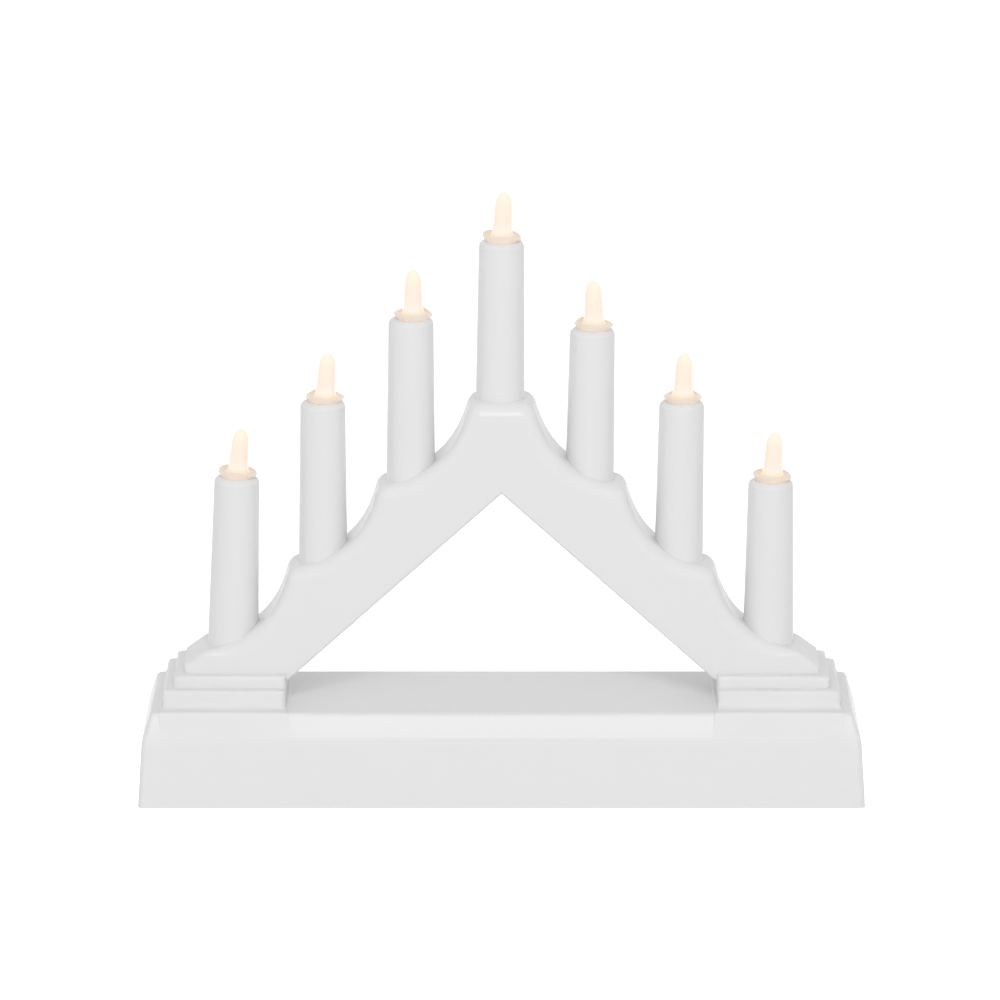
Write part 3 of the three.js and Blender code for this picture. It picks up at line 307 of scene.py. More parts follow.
def block(low, high):
    """Box between two corners."""
    bm = bmesh.new()
    bmesh.ops.create_cube(bm, size=1)
    size = Vector(high) - Vector(low)
    bmesh.ops.scale(bm, vec=size, verts=bm.verts)
    bmesh.ops.translate(bm, vec=(Vector(high) + Vector(low)) / 2, verts=bm.verts)
    return bm


def post(place, length, radius, sides=TUBE_SIDES, top_radius=None):
    """Cylinder or cone that stands on a place, given as a matrix."""
    bm = bmesh.new()
    bmesh.ops.create_cone(bm, cap_ends=True, segments=sides, radius1=radius, radius2=top_radius or radius,
                          depth=length)
    bmesh.ops.translate(bm, vec=(0, 0, length / 2), verts=bm.verts)
    bmesh.ops.transform(bm, matrix=place, verts=bm.verts)
    return bm


def spun(profile, sides, closed=False):
    """Turned form about Z, from pairs of radius and height."""
    bm = bmesh.new()
    points = [bm.verts.new((radius, 0, height)) for radius, height in profile]
    pairs = list(zip(points, points[1:]))
    if closed:
        pairs.append((points[-1], points[0]))
    edges = [bm.edges.new(pair) for pair in pairs]
    bmesh.ops.spin(bm, geom=points + edges, axis=(0, 0, 1), cent=(0, 0, 0), angle=2 * math.pi, steps=sides,
                   use_merge=True)
    clean(bm)
    return bm


def scratch_object(bm):
    """Object for a modifier to work on, in place of its bmesh."""
    mesh = bpy.data.meshes.new("scratch")
    bm.to_mesh(mesh)
    bm.free()
    obj = bpy.data.objects.new("scratch", mesh)
    bpy.context.scene.collection.objects.link(obj)
    return obj


def evaluated(obj):
    """bmesh of an object with its modifiers applied, after which the object is gone."""
    graph = bpy.context.evaluated_depsgraph_get()
    mesh = bpy.data.meshes.new_from_object(obj.evaluated_get(graph))
    bm = bmesh.new()
    bm.from_mesh(mesh)
    bpy.data.meshes.remove(mesh)
    bpy.data.meshes.remove(obj.data)
    return bm


def combined(bm, tools, operation):
    """One solid joined with others, or cut by them."""
    obj = scratch_object(bm)
    helpers = [scratch_object(tool) for tool in tools]
    for helper in helpers:
        step = obj.modifiers.new("step", "BOOLEAN")
        step.operation = operation
        step.solver = "MANIFOLD"
        step.object = helper
    result = evaluated(obj)
    for helper in helpers:
        bpy.data.meshes.remove(helper.data)
    return result


def flipped(bm, axis):
    """Mirror image of a mesh, with its faces still outwards."""
    bmesh.ops.scale(bm, vec=[-1 if i == axis else 1 for i in range(3)], verts=bm.verts)
    bmesh.ops.reverse_faces(bm, faces=bm.faces)
    return bm


def sliced(bm, places):
    """Cut faces along planes across X, so that no later hole lies inside one face."""
    for x in places:
        everything = bm.verts[:] + bm.edges[:] + bm.faces[:]
        bmesh.ops.bisect_plane(bm, geom=everything, plane_co=(x, 0, 0), plane_no=(1, 0, 0), dist=SAME_POINT)
    return bm


def least_reach(face):
    """How near a turned form's face comes to the axis."""
    return min(vert.co.xy.length for vert in face.verts)


def finish_piece(bm, name, materials, nodes, body=BODY):
    """Object in metres that rides on a body and stands for the nodes."""
    bmesh.ops.scale(bm, vec=(MM, MM, MM), verts=bm.verts)
    mesh = bpy.data.meshes.new(name)
    bm.to_mesh(mesh)
    bm.free()
    for material in materials:
        mesh.materials.append(material)
    mesh.shade_smooth()
    mesh.set_sharp_from_angle(angle=SHARP_ANGLE)
    piece = bpy.data.objects.new(name, mesh)
    bpy.context.scene.collection.objects.link(piece)
    normals = piece.modifiers.new("even_shading", "WEIGHTED_NORMAL")
    normals.keep_sharp = True
    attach(piece, body)
    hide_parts(*nodes)
    return piece


# Materials

def new_material(name):
    """Material with its node tree and its main shader."""
    material = bpy.data.materials.new(name)
    material.use_nodes = True
    return material, material.node_tree, material.node_tree.nodes["Principled BSDF"]


def object_noise(tree, scale, detail=2.0):
    """Cloudy pattern that is fixed to the object."""
    place = tree.nodes.new("ShaderNodeTexCoord")
    noise = tree.nodes.new("ShaderNodeTexNoise")
    noise.inputs["Scale"].default_value = scale
    noise.inputs["Detail"].default_value = detail
    tree.links.new(place.outputs["Object"], noise.inputs["Vector"])
    return noise.outputs["Fac"]


def carried_value(tree, name):
    """Value that the mesh's points carry under a name."""
    value = tree.nodes.new("ShaderNodeAttribute")
    value.attribute_name = name
    return value.outputs["Fac"]


def vary(tree, source, low, high, target):
    """Spread a texture's value between two limits, into a socket."""
    spread = tree.nodes.new("ShaderNodeMapRange")
    spread.inputs["To Min"].default_value = low
    spread.inputs["To Max"].default_value = high
    tree.links.new(source, spread.inputs["Value"])
    tree.links.new(spread.outputs["Result"], target)


def tint(tree, source, shades, target):
    """Shade by a value, through colours that stand at shares of it."""
    ramp = tree.nodes.new("ShaderNodeValToRGB")
    places = ramp.color_ramp.elements
    first, *between, last = shades
    for place, (share, colour) in zip(places, (first, last)):
        place.position = share
        place.color = (*colour, 1)
    for share, colour in between:
        places.new(share).color = (*colour, 1)
    tree.links.new(source, ramp.inputs["Fac"])
    tree.links.new(ramp.outputs["Color"], target)


def bump(tree, bsdf, source, strength, distance):
    """Shallow relief by a pattern's value."""
    relief = tree.nodes.new("ShaderNodeBump")
    relief.inputs["Strength"].default_value = strength
    relief.inputs["Distance"].default_value = distance
    tree.links.new(source, relief.inputs["Height"])
    tree.links.new(relief.outputs["Normal"], bsdf.inputs["Normal"])


def moulded(name, dark, light, smooth, rough, gloss=0.5, skin=0.0):
    """Moulded plastic: slow waves in the surface, an uneven gloss and a share of polished skin."""
    material, tree, bsdf = new_material(name)
    bsdf.inputs["Specular IOR Level"].default_value = gloss
    bsdf.inputs["Coat Weight"].default_value = skin
    bsdf.inputs["Coat Roughness"].default_value = SKIN_ROUGHNESS
    waves = object_noise(tree, WAVE_SCALE)
    tint(tree, waves, [(0.0, dark), (1.0, light)], bsdf.inputs["Base Color"])
    vary(tree, object_noise(tree, GLOSS_SCALE, GLOSS_DETAIL), smooth, rough, bsdf.inputs["Roughness"])
    bump(tree, bsdf, waves, *WAVE_RELIEF)
    return material


def plated(name, dark, light):
    """Plated metal with fine rolling marks."""
    material, tree, bsdf = new_material(name)
    bsdf.inputs["Metallic"].default_value = 1.0
    marks = object_noise(tree, ROLLING_SCALE, ROLLING_DETAIL)
    tint(tree, marks, [(0.0, dark), (1.0, light)], bsdf.inputs["Base Color"])
    vary(tree, marks, *ROLLING_ROUGHNESS, bsdf.inputs["Roughness"])
    bump(tree, bsdf, marks, *ROLLING_RELIEF)
    return material


def lit_resin(name, source, bodies, glows, strength):
    """Milky plastic over a diode, coloured and lit by a value that its points carry."""
    material, tree, bsdf = new_material(name)
    value = carried_value(tree, source)
    tint(tree, value, bodies, bsdf.inputs["Base Color"])
    tint(tree, value, glows, bsdf.inputs["Emission Color"])
    bsdf.inputs["Emission Strength"].default_value = strength
    vary(tree, object_noise(tree, MILK_SCALE), *MILK_ROUGHNESS, bsdf.inputs["Roughness"])
    return material


def clear_resin(name, dark, light, strength):
    """Clear cast resin that glows from within."""
    material, tree, bsdf = new_material(name)
    flow = object_noise(tree, FLOW_SCALE)
    tint(tree, flow, [(0.0, dark), (1.0, light)], bsdf.inputs["Base Color"])
    tint(tree, flow, [(0.0, dark), (1.0, light)], bsdf.inputs["Emission Color"])
    bsdf.inputs["Emission Strength"].default_value = strength
    bsdf.inputs["Transmission Weight"].default_value = RESIN_CLARITY
    vary(tree, flow, *FLOW_ROUGHNESS, bsdf.inputs["Roughness"])
    return material


WHITE = moulded("white_plastic", (0.796, 0.796, 0.796), (0.804, 0.804, 0.804), 0.4, 0.5,
                gloss=0.05, skin=0.35)
BLACK = moulded("black_plastic", (0.03, 0.03, 0.03), (0.05, 0.05, 0.05), 0.42, 0.55)
SLEEVE = moulded("cell_sleeve", (0.17, 0.21, 0.25), (0.2, 0.24, 0.28), 0.3, 0.4)
STEEL = plated("plated_steel", (0.58, 0.58, 0.57), (0.72, 0.72, 0.71))
FLAME = lit_resin("lit_flame", "height",
                  [(0.08, (0.55, 0.42, 0.26)), (0.2, (0.54, 0.48, 0.42)), (0.42, (0.55, 0.45, 0.37)),
                   (0.75, (0.55, 0.45, 0.36)), (1.0, (0.55, 0.51, 0.41))],
                  [(0.08, (1.0, 0.76, 0.48)), (0.2, (1.0, 0.92, 0.84)), (0.42, (1.0, 0.85, 0.77)),
                   (1.0, (1.0, 0.94, 0.8))], 0.47)
# Cup: the diode's glow through the plastic, painted as emission: orange next to the flame, and lightest on
# the underside, where it is painted light in place of the shade under the rim
CUP = lit_resin("lit_cup", "reach",
                [(0.0, (0.8, 0.62, 0.42)), (0.4, (0.68, 0.6, 0.5)), (0.8, (0.74, 0.67, 0.59)),
                 (1.0, (0.9, 0.76, 0.64))],
                [(0.0, (1.0, 0.66, 0.38)), (0.8, (1.0, 0.82, 0.66)), (1.0, (1.0, 0.84, 0.72))], 0.14)
FINISHES = {
    "white_plastic": WHITE,
    "black_plastic": BLACK,
    "cell_sleeve": SLEEVE,
    "plated_steel": STEEL,
    "lit_flame": FLAME,
    "led_resin": clear_resin("led_resin", (1.0, 0.86, 0.6), (1.0, 0.93, 0.75), 0.6),
    "board_laminate": moulded("board_laminate", (0.05, 0.22, 0.11), (0.08, 0.3, 0.16), 0.3, 0.42),
    "resistor_body": moulded("resistor_body", (0.66, 0.52, 0.33), (0.72, 0.58, 0.38), 0.3, 0.45),
    "white_wire": moulded("white_wire", (0.8, 0.8, 0.77), (0.85, 0.85, 0.82), 0.45, 0.6),
    "red_wire": moulded("red_wire", (0.52, 0.04, 0.04), (0.6, 0.05, 0.05), 0.45, 0.6),
    "black_wire": moulded("black_wire", (0.03, 0.03, 0.03), (0.05, 0.05, 0.05), 0.45, 0.6),
}


def dress_nodes():
    """Give each solid of the frame the finish that its record names."""
    for row in frame["record"]["subparts"]:
        for slot in frame["nodes"][row["node"]].material_slots:
            slot.material = FINISHES[row["material_slot"]]


# Arch

def corner_arc(before, corner, after, radius):
    """Arc that rounds the corner between two straight runs."""
    back = (before - corner).normalized()
    ahead = (after - corner).normalized()
    half = back.angle(ahead) / 2
    centre = corner + (back + ahead).normalized() * (radius / math.sin(half))
    start = corner + back * (radius / math.tan(half)) - centre
    turn = 2 * half - math.pi
    return [centre + Matrix.Rotation(turn * step / ARC_STEPS, 2) @ start for step in range(ARC_STEPS + 1)]


def hollow_sweep(start, knee, end):
    """Points between the two ends of a hollow curve."""
    shares = [step / SWEEP_STEPS for step in range(1, SWEEP_STEPS)]
    return [start * (1 - t) ** 2 + knee * 2 * t * (1 - t) + end * t ** 2 for t in shares]


def side_skyline():
    """Skyline from the middle of the crown to the right toe: round shelf corners and hollow sweeps."""
    knees = [Vector((0, CROWN_Z))]
    for step in range(SIDE_CANDLES):
        axis = step * CANDLE_PITCH
        shelf = CROWN_Z - step * SHELF_RISE
        reach, fall = (SHELF_REACH, SHELF_FALL) if step else (CROWN_REACH, 0)
        knees.append(Vector((axis + reach, shelf - fall)))
        knees.append(Vector((axis + SWEEP_REACH, shelf - SWEEP_DROP)))
    knees.append(Vector((END_X + FOOT_REACH, PLINTH_Z + FOOT_SHELF_HEIGHT - FOOT_FALL)))
    knees.append(Vector((TOE_X, PLINTH_Z + TOE_HEIGHT)))
    skyline = [knees[0]]
    for i in range(1, len(knees) - 1, 2):
        radius = FOOT_CORNER if i == len(knees) - 2 else SHELF_CORNER
        arc = corner_arc(knees[i - 1], knees[i], knees[i + 1], radius)
        if i > 1:
            skyline += hollow_sweep(skyline[-1], knees[i - 1], arc[0])
        skyline += arc
    return skyline + [knees[-1]]


def arch_outline(foot):
    """Outline of the whole arch: left foot, skyline, right foot and gable, with the foot's places given."""
    right = side_skyline() + [Vector(place) for place in foot]
    left = [Vector((-point.x, point.y)) for point in reversed(right[1:])]
    return [Vector((0, GABLE_Z))] + left + right


def pulled(bm, face, distance):
    """Make a closed slab of a face, along Y."""
    made = bmesh.ops.extrude_face_region(bm, geom=[face], use_keep_orig=True)["geom"]
    moved = [item for item in made if isinstance(item, bmesh.types.BMVert)]
    bmesh.ops.translate(bm, vec=(0, distance, 0), verts=moved)
    bmesh.ops.recalc_face_normals(bm, faces=bm.faces)


def sharpen_toes(bm):
    """Draw the crest's rounded edge in towards its corner, more and more on the way to the toe."""
    front = -ARCH_DEPTH / 2
    corners = side_skyline()
    for vert in bm.verts:
        if abs(vert.co.x) < END_X or vert.co.y > front + ARCH_EDGE_RADIUS + SAME_POINT:
            continue
        across = Vector((abs(vert.co.x), vert.co.z))
        corner = min(corners, key=lambda place: (place - across).length)
        if vert.co.z < PLINTH_Z + SAME_POINT:
            corner = Vector((TOE_X, PLINTH_Z))
        share = (corner.x - END_X - CRISP_START) / (CRISP_END - CRISP_START)
        keep = 1 - (1 - CRISP_SHARE) * min(1.0, max(0.0, share))
        sharp = Vector((math.copysign(corner.x, vert.co.x), front, corner.y))
        vert.co = sharp + (vert.co - sharp) * keep


def arch_solid():
    """Front half of the arch as a solid, with its rounded edges."""
    bm = bmesh.new()
    outline = arch_outline([(TOE_X, PLINTH_Z), (HEEL, PLINTH_Z), (HEEL, HEEL_TIP[1]), HEEL_TIP])
    parting = bm.faces.new([bm.verts.new((x, 0, z)) for x, z in outline])
    pulled(bm, parting, -ARCH_DEPTH / 2)

    def is_front(edge):
        return all(vert.co.y < -ARCH_DEPTH / 2 + SAME_POINT for vert in edge.verts)

    def is_gable(edge):
        gaps = [GABLE_Z - GABLE_SLOPE * abs(vert.co.x) - vert.co.z for vert in edge.verts]
        return all(abs(gap) < SAME_POINT for gap in gaps)

    def is_low(edge):
        return all(vert.co.z < PLINTH_Z + SAME_POINT for vert in edge.verts)

    crest = [edge for edge in bm.edges if is_front(edge) and not is_low(edge) and not is_gable(edge)]
    round_edges(bm, crest, ARCH_EDGE_RADIUS, EDGE_STEPS)
    sharpen_toes(bm)
    gable = [edge for edge in bm.edges if is_front(edge) and is_gable(edge)]
    round_edges(bm, gable, GABLE_EDGE_RADIUS, SMALL_EDGE_STEPS)
    return bm


def arch_room():
    """Hollow of the front half, one wall inside the outline and open below."""
    low = PLINTH_Z - 3 * ARCH_WALL
    outline = arch_outline([(TOE_X, low), ((GABLE_Z - low) / GABLE_SLOPE, low)])
    bm = bmesh.new()
    face = bm.faces.new([bm.verts.new((x, OVERRUN, z)) for x, z in outline])
    face.normal_update()
    rim = bmesh.ops.inset_individual(bm, faces=[face], thickness=ARCH_WALL, use_even_offset=True)["faces"]
    bmesh.ops.delete(bm, geom=rim, context="FACES")
    pulled(bm, face, ARCH_WALL - ARCH_DEPTH / 2 - OVERRUN)
    return bm


def arch_ribs():
    """Webs that the candles stand on, each with a way through for its wire."""
    reach = ARCH_DEPTH / 2 - ARCH_WALL + FUSE
    webs = []
    for index in range(len(CANDLES)):
        seat = candle_place(index).translation - Vector((0, 0, FIT))
        low = seat - Vector((SEAT_WIDTH / 2, reach, SEAT_THICKNESS))
        web = block(low, seat + Vector((SEAT_WIDTH / 2, 0, 0)))
        port = post(Matrix.Translation(seat - Vector((0, 0, SEAT_WIDTH / 2))), SEAT_WIDTH, SEAT_PORT_RADIUS)
        webs.append(combined(web, [port], "DIFFERENCE"))
    return combined(webs[0], webs[1:], "UNION")


def make_arch():
    """Front and rear mouldings of the arch: hollow, ribbed, and bored for the candles."""
    solid = arch_solid()
    ribs = combined(arch_ribs(), [solid.copy()], "INTERSECT")
    front = combined(solid, [arch_room()], "DIFFERENCE")
    bores = [post(candle_place(i), TUBE_LENGTH, foot_radius(i) + SNUG, top_radius=TUBE_TOP_RADIUS + SNUG)
             for i in range(len(CANDLES))]
    front = combined(combined(front, [ribs], "UNION"), bores, "DIFFERENCE")
    for name, half in (("rear", flipped(front.copy(), 1)), ("front", front)):
        finish_piece(half, f"arch_{name}_moulding", [WHITE], [f"arch_{name}_shell"])


# Candles

def make_tubes():
    """Hollow candle tubes with round shoulders and a port for the light tip."""
    port = SPIGOT_RADIUS + TIP_PLAY
    inside_top = TUBE_TOP_RADIUS - TUBE_WALL
    top = [(TUBE_TOP_RADIUS, TUBE_LENGTH), (port, TUBE_LENGTH), (port, TUBE_LENGTH - TUBE_WALL),
           (inside_top, TUBE_LENGTH - TUBE_WALL)]
    for index in range(len(CANDLES)):
        foot = [(foot_radius(index) - TUBE_WALL, 0), (foot_radius(index), 0)]
        bm = spun(foot + top, TUBE_SIDES, closed=True)
        crown = [edge for edge in bm.edges
                 if all(abs(vert.co.xy.length - TUBE_TOP_RADIUS) < SAME_POINT for vert in edge.verts)]
        round_edges(bm, crown, TUBE_SHOULDER, EDGE_STEPS)
        bmesh.ops.transform(bm, matrix=candle_place(index), verts=bm.verts)
        number = index + 1
        finish_piece(bm, f"candle_{number}", [WHITE], [f"candle_tube_{number}"])


def flame_profile():
    """Light tip from the diode's bore by the spigot, cup and skirt to the point, as radius and height."""
    profile = [(0, LED_BORE_TOP), (LED_BORE, LED_BORE_TOP - LED_BORE / 2), (LED_BORE, LED_FLANGE_TOP),
               (LED_FLANGE_BORE, LED_FLANGE_TOP), (LED_FLANGE_BORE, -SPIGOT_LENGTH),
               (SPIGOT_RADIUS, -SPIGOT_LENGTH), (SPIGOT_RADIUS, CUP_UNDERSIDE[0][1])]
    profile += CUP_UNDERSIDE + CUP_LIP + [(SKIRT_RADIUS, SKIRT_FOOT)]
    for step in range(1, ARC_STEPS + 1):
        share = step / ARC_STEPS
        flare = (1 - share) ** SKIRT_CURVE
        profile.append((FLAME_FOOT_RADIUS + (SKIRT_RADIUS - FLAME_FOOT_RADIUS) * flare,
                        SKIRT_FOOT + (SKIRT_TOP - SKIRT_FOOT) * share))
    shoulder = FLAME_HEIGHT - FLAME_POINT
    for step in range(2 * ARC_STEPS):
        angle = math.pi / 2 * step / (2 * ARC_STEPS)
        profile.append((FLAME_RADIUS * math.cos(angle), shoulder + FLAME_POINT * math.sin(angle)))
    return profile + [(0, FLAME_HEIGHT)]


def make_flames():
    """Light tips: each cup wavy, bowed and tilted, each flame with its own lean."""
    for index, tilt in enumerate(CUP_TILTS):
        _, _, _, shift, lean = CANDLES[index]
        bm = spun(flame_profile(), FLAME_SIDES)
        height = bm.verts.layers.float.new("height")
        reach = bm.verts.layers.float.new("reach")
        for face in bm.faces:
            face.material_index = int(least_reach(face) > SKIRT_RADIUS - SAME_POINT)
        for vert in bm.verts:
            share = max(0.0, (vert.co.xy.length - SKIRT_RADIUS) / (CUP_RADIUS - SKIRT_RADIUS))
            vert[height] = max(0.0, vert.co.z) / FLAME_HEIGHT
            vert[reach] = CUP_RIM * share
            # The underside runs up to the top of the cup's scale: painted light, lighter and glowing more,
            # where the rim would shade it
            if share and vert.co.z < SKIRT_FOOT:
                vert[reach] = 1 - (1 - CUP_RIM) * vert.co.z / SKIRT_FOOT
            if share:
                angle = math.atan2(vert.co.y, vert.co.x)
                wave = CUP_WAVE * math.sin(CUP_WAVES * angle + CUP_TURN * index)
                wave -= CUP_BOW * math.cos(2 * angle)
                give = min(1.0, vert.co.z / SKIRT_FOOT)
                vert.co.z += give * share * (share * wave - vert.co.x * math.tan(math.radians(tilt)))
            vert.co.x += vert.co.z * math.tan(math.radians(lean))
        place = candle_place(index) @ Matrix.Translation((shift, 0, TUBE_LENGTH))
        bmesh.ops.transform(bm, matrix=place, verts=bm.verts)
        number = index + 1
        finish_piece(bm, f"light_tip_{number}", [FLAME, CUP], [f"flame_{number}"])


# Base

def tapered(levels, corner):
    """Closed box with round corners, through levels of left end, right end, half depth and height."""
    bm = bmesh.new()
    left, right, half, z = levels[0]
    corners = [(left, -half), (right, -half), (right, half), (left, half)]
    bm.faces.new([bm.verts.new((x, y, z)) for x, y in corners])
    bmesh.ops.bevel(bm, geom=bm.verts[:], offset=corner, offset_type="OFFSET", segments=SMALL_EDGE_STEPS,
                    profile=0.5, affect="VERTICES", material=-1)
    bm.faces.ensure_lookup_table()
    top = bm.faces[0]
    for level, (next_left, next_right, next_half, next_z) in enumerate(levels[1:]):
        made = bmesh.ops.extrude_face_region(bm, geom=[top])["geom"]
        if level:
            bmesh.ops.delete(bm, geom=[top], context="FACES_ONLY")
        verts = [item for item in made if isinstance(item, bmesh.types.BMVert)]
        top = next(item for item in made if isinstance(item, bmesh.types.BMFace))
        stretch = (next_right - next_left) / (right - left)
        bmesh.ops.scale(bm, vec=(stretch, next_half / half, 1), verts=verts)
        bmesh.ops.translate(bm, vec=(next_left - left * stretch, 0, next_z - z), verts=verts)
        left, right, half, z = next_left, next_right, next_half, next_z
    bmesh.ops.recalc_face_normals(bm, faces=bm.faces)
    return bm


def at_height(bm, z):
    """Edges that lie level at a height."""
    return [edge for edge in bm.edges if all(abs(vert.co.z - z) < SAME_POINT for vert in edge.verts)]


def upright(bm):
    """Edges that rise."""
    return [edge for edge in bm.edges if abs(edge.verts[0].co.z - edge.verts[1].co.z) > UPRIGHT_RISE]


def hull():
    """Long base: drafted band, chamfered shoulder and deck."""
    levels = [(-BASE_X, BASE_X, BASE_Y, 0), (-BAND_X, BAND_X, BAND_Y, BAND_HEIGHT),
              (-DECK_X, DECK_X, DECK_Y, DECK_Z)]
    bm = tapered(levels, BASE_CORNER)
    round_edges(bm, at_height(bm, DECK_Z), DECK_EDGE, EDGE_STEPS)
    round_edges(bm, at_height(bm, BAND_HEIGHT), BAND_EDGE, SMALL_EDGE_STEPS)
    return bm


def hull_room():
    """Hollow of the long base, open below."""
    draft = BAND_DRAFT / BAND_HEIGHT * OVERRUN
    levels = []
    for end, half, z in ((BASE_X + draft, BASE_Y + draft, -OVERRUN), (BAND_X, BAND_Y, BAND_HEIGHT),
                         (DECK_X, DECK_Y, DECK_UNDERSIDE)):
        levels.append((BASE_WALL - end, end - BASE_WALL, half - BASE_WALL, z))
    return tapered(levels, BASE_CORNER / 2)


def rounded_top(inner, outer, half, top):
    """Levels of a step's rounded top edge, which is square at the inner end, under what stands on it."""
    levels = []
    for step in range(SMALL_EDGE_STEPS + 1):
        angle = math.pi / 2 * step / SMALL_EDGE_STEPS
        inset_by = STEP_EDGE * (1 - math.cos(angle))
        levels.append((inner, outer - inset_by, half - inset_by, top - STEP_EDGE * (1 - math.sin(angle))))
    return levels


def plinth():
    """Right plinth: two steps in one solid, the lower one with a hollow flare at its foot."""
    half = LOWER_STEP["depth"] / 2
    levels = [(HEEL_X, LOWER_STEP_X + FLARE_END, half + FLARE, DECK_UNDERSIDE + FUSE)]
    for step in range(SMALL_EDGE_STEPS + 1):
        share = step / SMALL_EDGE_STEPS
        spread = (1 - share) ** 2
        levels.append((HEEL_X, LOWER_STEP_X + FLARE_END * spread, half + FLARE * spread,
                       SADDLE_Z + FLARE_HEIGHT * share))
    levels += rounded_top(HEEL_X, LOWER_STEP_X, half, LOWER_STEP_Z)
    half = UPPER_STEP["depth"] / 2
    levels.append((HEEL_X, UPPER_STEP_X, half, LOWER_STEP_Z))
    levels += rounded_top(HEEL_X, UPPER_STEP_X, half, PLINTH_Z)
    return tapered(levels, STEP_CORNER)


def saddle():
    """Right saddle: low raised band under the plinth, over the deck and the chamfer."""
    inner = HEEL_X - SADDLE_MARGIN
    outer = LOWER_STEP_X + SADDLE_MARGIN
    depth = DECK_Y + SADDLE_RISE
    bm = block([inner, -depth, BAND_HEIGHT], [outer, depth, SADDLE_Z])
    low = [vert for vert in bm.verts if vert.co.z < BAND_HEIGHT + SAME_POINT]
    bmesh.ops.scale(bm, vec=(1, (BAND_Y - SADDLE_TUCK) / depth, 1), verts=low)
    bmesh.ops.translate(bm, vec=(-SADDLE_SLANT, 0, 0), verts=low)
    round_edges(bm, at_height(bm, SADDLE_Z), DECK_EDGE / 2, SMALL_EDGE_STEPS)
    round_edges(bm, upright(bm), SADDLE_EDGE, SMALL_EDGE_STEPS)
    return bm


def make_base():
    """Base in one moulding: hull, saddles and plinths, hollow, with screw bosses and wire ways."""
    solids = []
    rooms = [hull_room()]
    holes = []
    bosses = []
    for side in (-1, 1):
        solids += [sliced(saddle(), [END_X]), plinth()]
        if side < 0:
            solids[-2:] = [flipped(solid, 0) for solid in solids[-2:]]
        steps = [(LOWER_STEP_X, LOWER_STEP, LOWER_STEP_Z), (UPPER_STEP_X, UPPER_STEP, PLINTH_Z)]
        for outer, step, top in steps:
            ends = sorted((side * (HEEL_X + BASE_WALL), side * (outer - BASE_WALL)))
            half = step["depth"] / 2 - BASE_WALL
            rooms.append(block([ends[0], -half, BAND_HEIGHT], [ends[1], half, top - BASE_WALL]))
        ways = [(ARCH_SCREW_X, -ARCH_SCREW_Y, SCREW_HOLE), (ARCH_SCREW_X, ARCH_SCREW_Y, SCREW_HOLE),
                (ARCH_SCREW_X, 0, WIRE_PORT), (END_X, 0, WIRE_PORT)]
        for x, y, radius in ways:
            place = Matrix.Translation((side * x, y, PLINTH_Z - 2 * BASE_WALL))
            holes.append(post(place, 3 * BASE_WALL, radius, SCREW_SIDES))
        for y in (-PLATE_SCREW_Y, PLATE_SCREW_Y):
            place = Matrix.Translation((side * PLATE_SCREW_X, y, PLATE_TOP))
            bosses.append(post(place, DECK_UNDERSIDE + FUSE - PLATE_TOP, PLATE_BOSS_RADIUS, SCREW_SIDES))
            place = Matrix.Translation((side * PLATE_SCREW_X, y, PLATE_TOP - OVERRUN))
            holes.append(post(place, SCREW_BITE + OVERRUN, SCREW_HOLE, SCREW_SIDES))
    cuts = [side * x for side in (-1, 1) for x in (ARCH_SCREW_X, END_X, PLATE_SCREW_X)]
    shell = combined(sliced(hull(), cuts), solids, "UNION")
    shell = combined(sliced(shell, cuts), rooms, "DIFFERENCE")
    shell = combined(sliced(shell, cuts), bosses, "UNION")
    shell = combined(sliced(shell, cuts), holes, "DIFFERENCE")
    finish_piece(shell, "base_moulding", [WHITE], ["base_housing"])


# Underside

def make_screws():
    """Plate screws with cross recesses in their heads."""
    half = CROSS_WIDTH / 2
    low = -SCREW_HEAD - OVERRUN
    depth = CROSS_DEPTH - SCREW_HEAD
    corners = [(-1, -1), (1, -1), (-1, 1), (1, 1)]
    for number, (x, y) in enumerate(corners, 1):
        slots = [block([-CROSS_REACH, -half, low], [CROSS_REACH, half, depth]),
                 block([-half, -CROSS_REACH, low], [half, CROSS_REACH, depth])]
        bm = combined(spun(SCREW_PROFILE, SCREW_SIDES), slots, "DIFFERENCE")
        place = (x * PLATE_SCREW_X, y * PLATE_SCREW_Y, PLATE_RECESS + SCREW_HEAD)
        bmesh.ops.translate(bm, vec=place, verts=bm.verts)
        finish_piece(bm, f"cross_screw_{number}", [STEEL], [f"plate_screw_{number}"])


def make_door():
    """Battery door: plate and thumb tab with soft edges, and a hinge barrel with its pins."""
    half = TAB_WIDTH / 2
    plate = block([HINGE_X, -DOOR_HALF, PLATE_RECESS], [DOOR_END, DOOR_HALF, PLATE_TOP])
    tab = block([DOOR_END - OVERRUN, -half, PLATE_RECESS],
                [DOOR_END + TAB_LENGTH, half, PLATE_RECESS + TAB_THICKNESS])
    for slab in (plate, tab):
        round_edges(slab, slab.edges[:], DOOR_EDGE, SMALL_EDGE_STEPS)
    far = PIN_LENGTH + 2 * DOOR_HALF
    barrel = spun([(0, 0), (PIN_RADIUS, 0), (PIN_RADIUS, PIN_LENGTH), (HINGE_RADIUS, PIN_LENGTH),
                   (HINGE_RADIUS, far), (PIN_RADIUS, far), (PIN_RADIUS, far + PIN_LENGTH),
                   (0, far + PIN_LENGTH)], SCREW_SIDES)
    hinge = Matrix.Translation((HINGE_X, DOOR_HALF + PIN_LENGTH, HINGE_Z))
    bmesh.ops.transform(barrel, matrix=hinge @ Matrix.Rotation(math.pi / 2, 4, "X"), verts=barrel.verts)
    door = combined(plate, [tab, barrel], "UNION")
    finish_piece(door, "battery_hatch", [WHITE], ["battery_door"], "door")


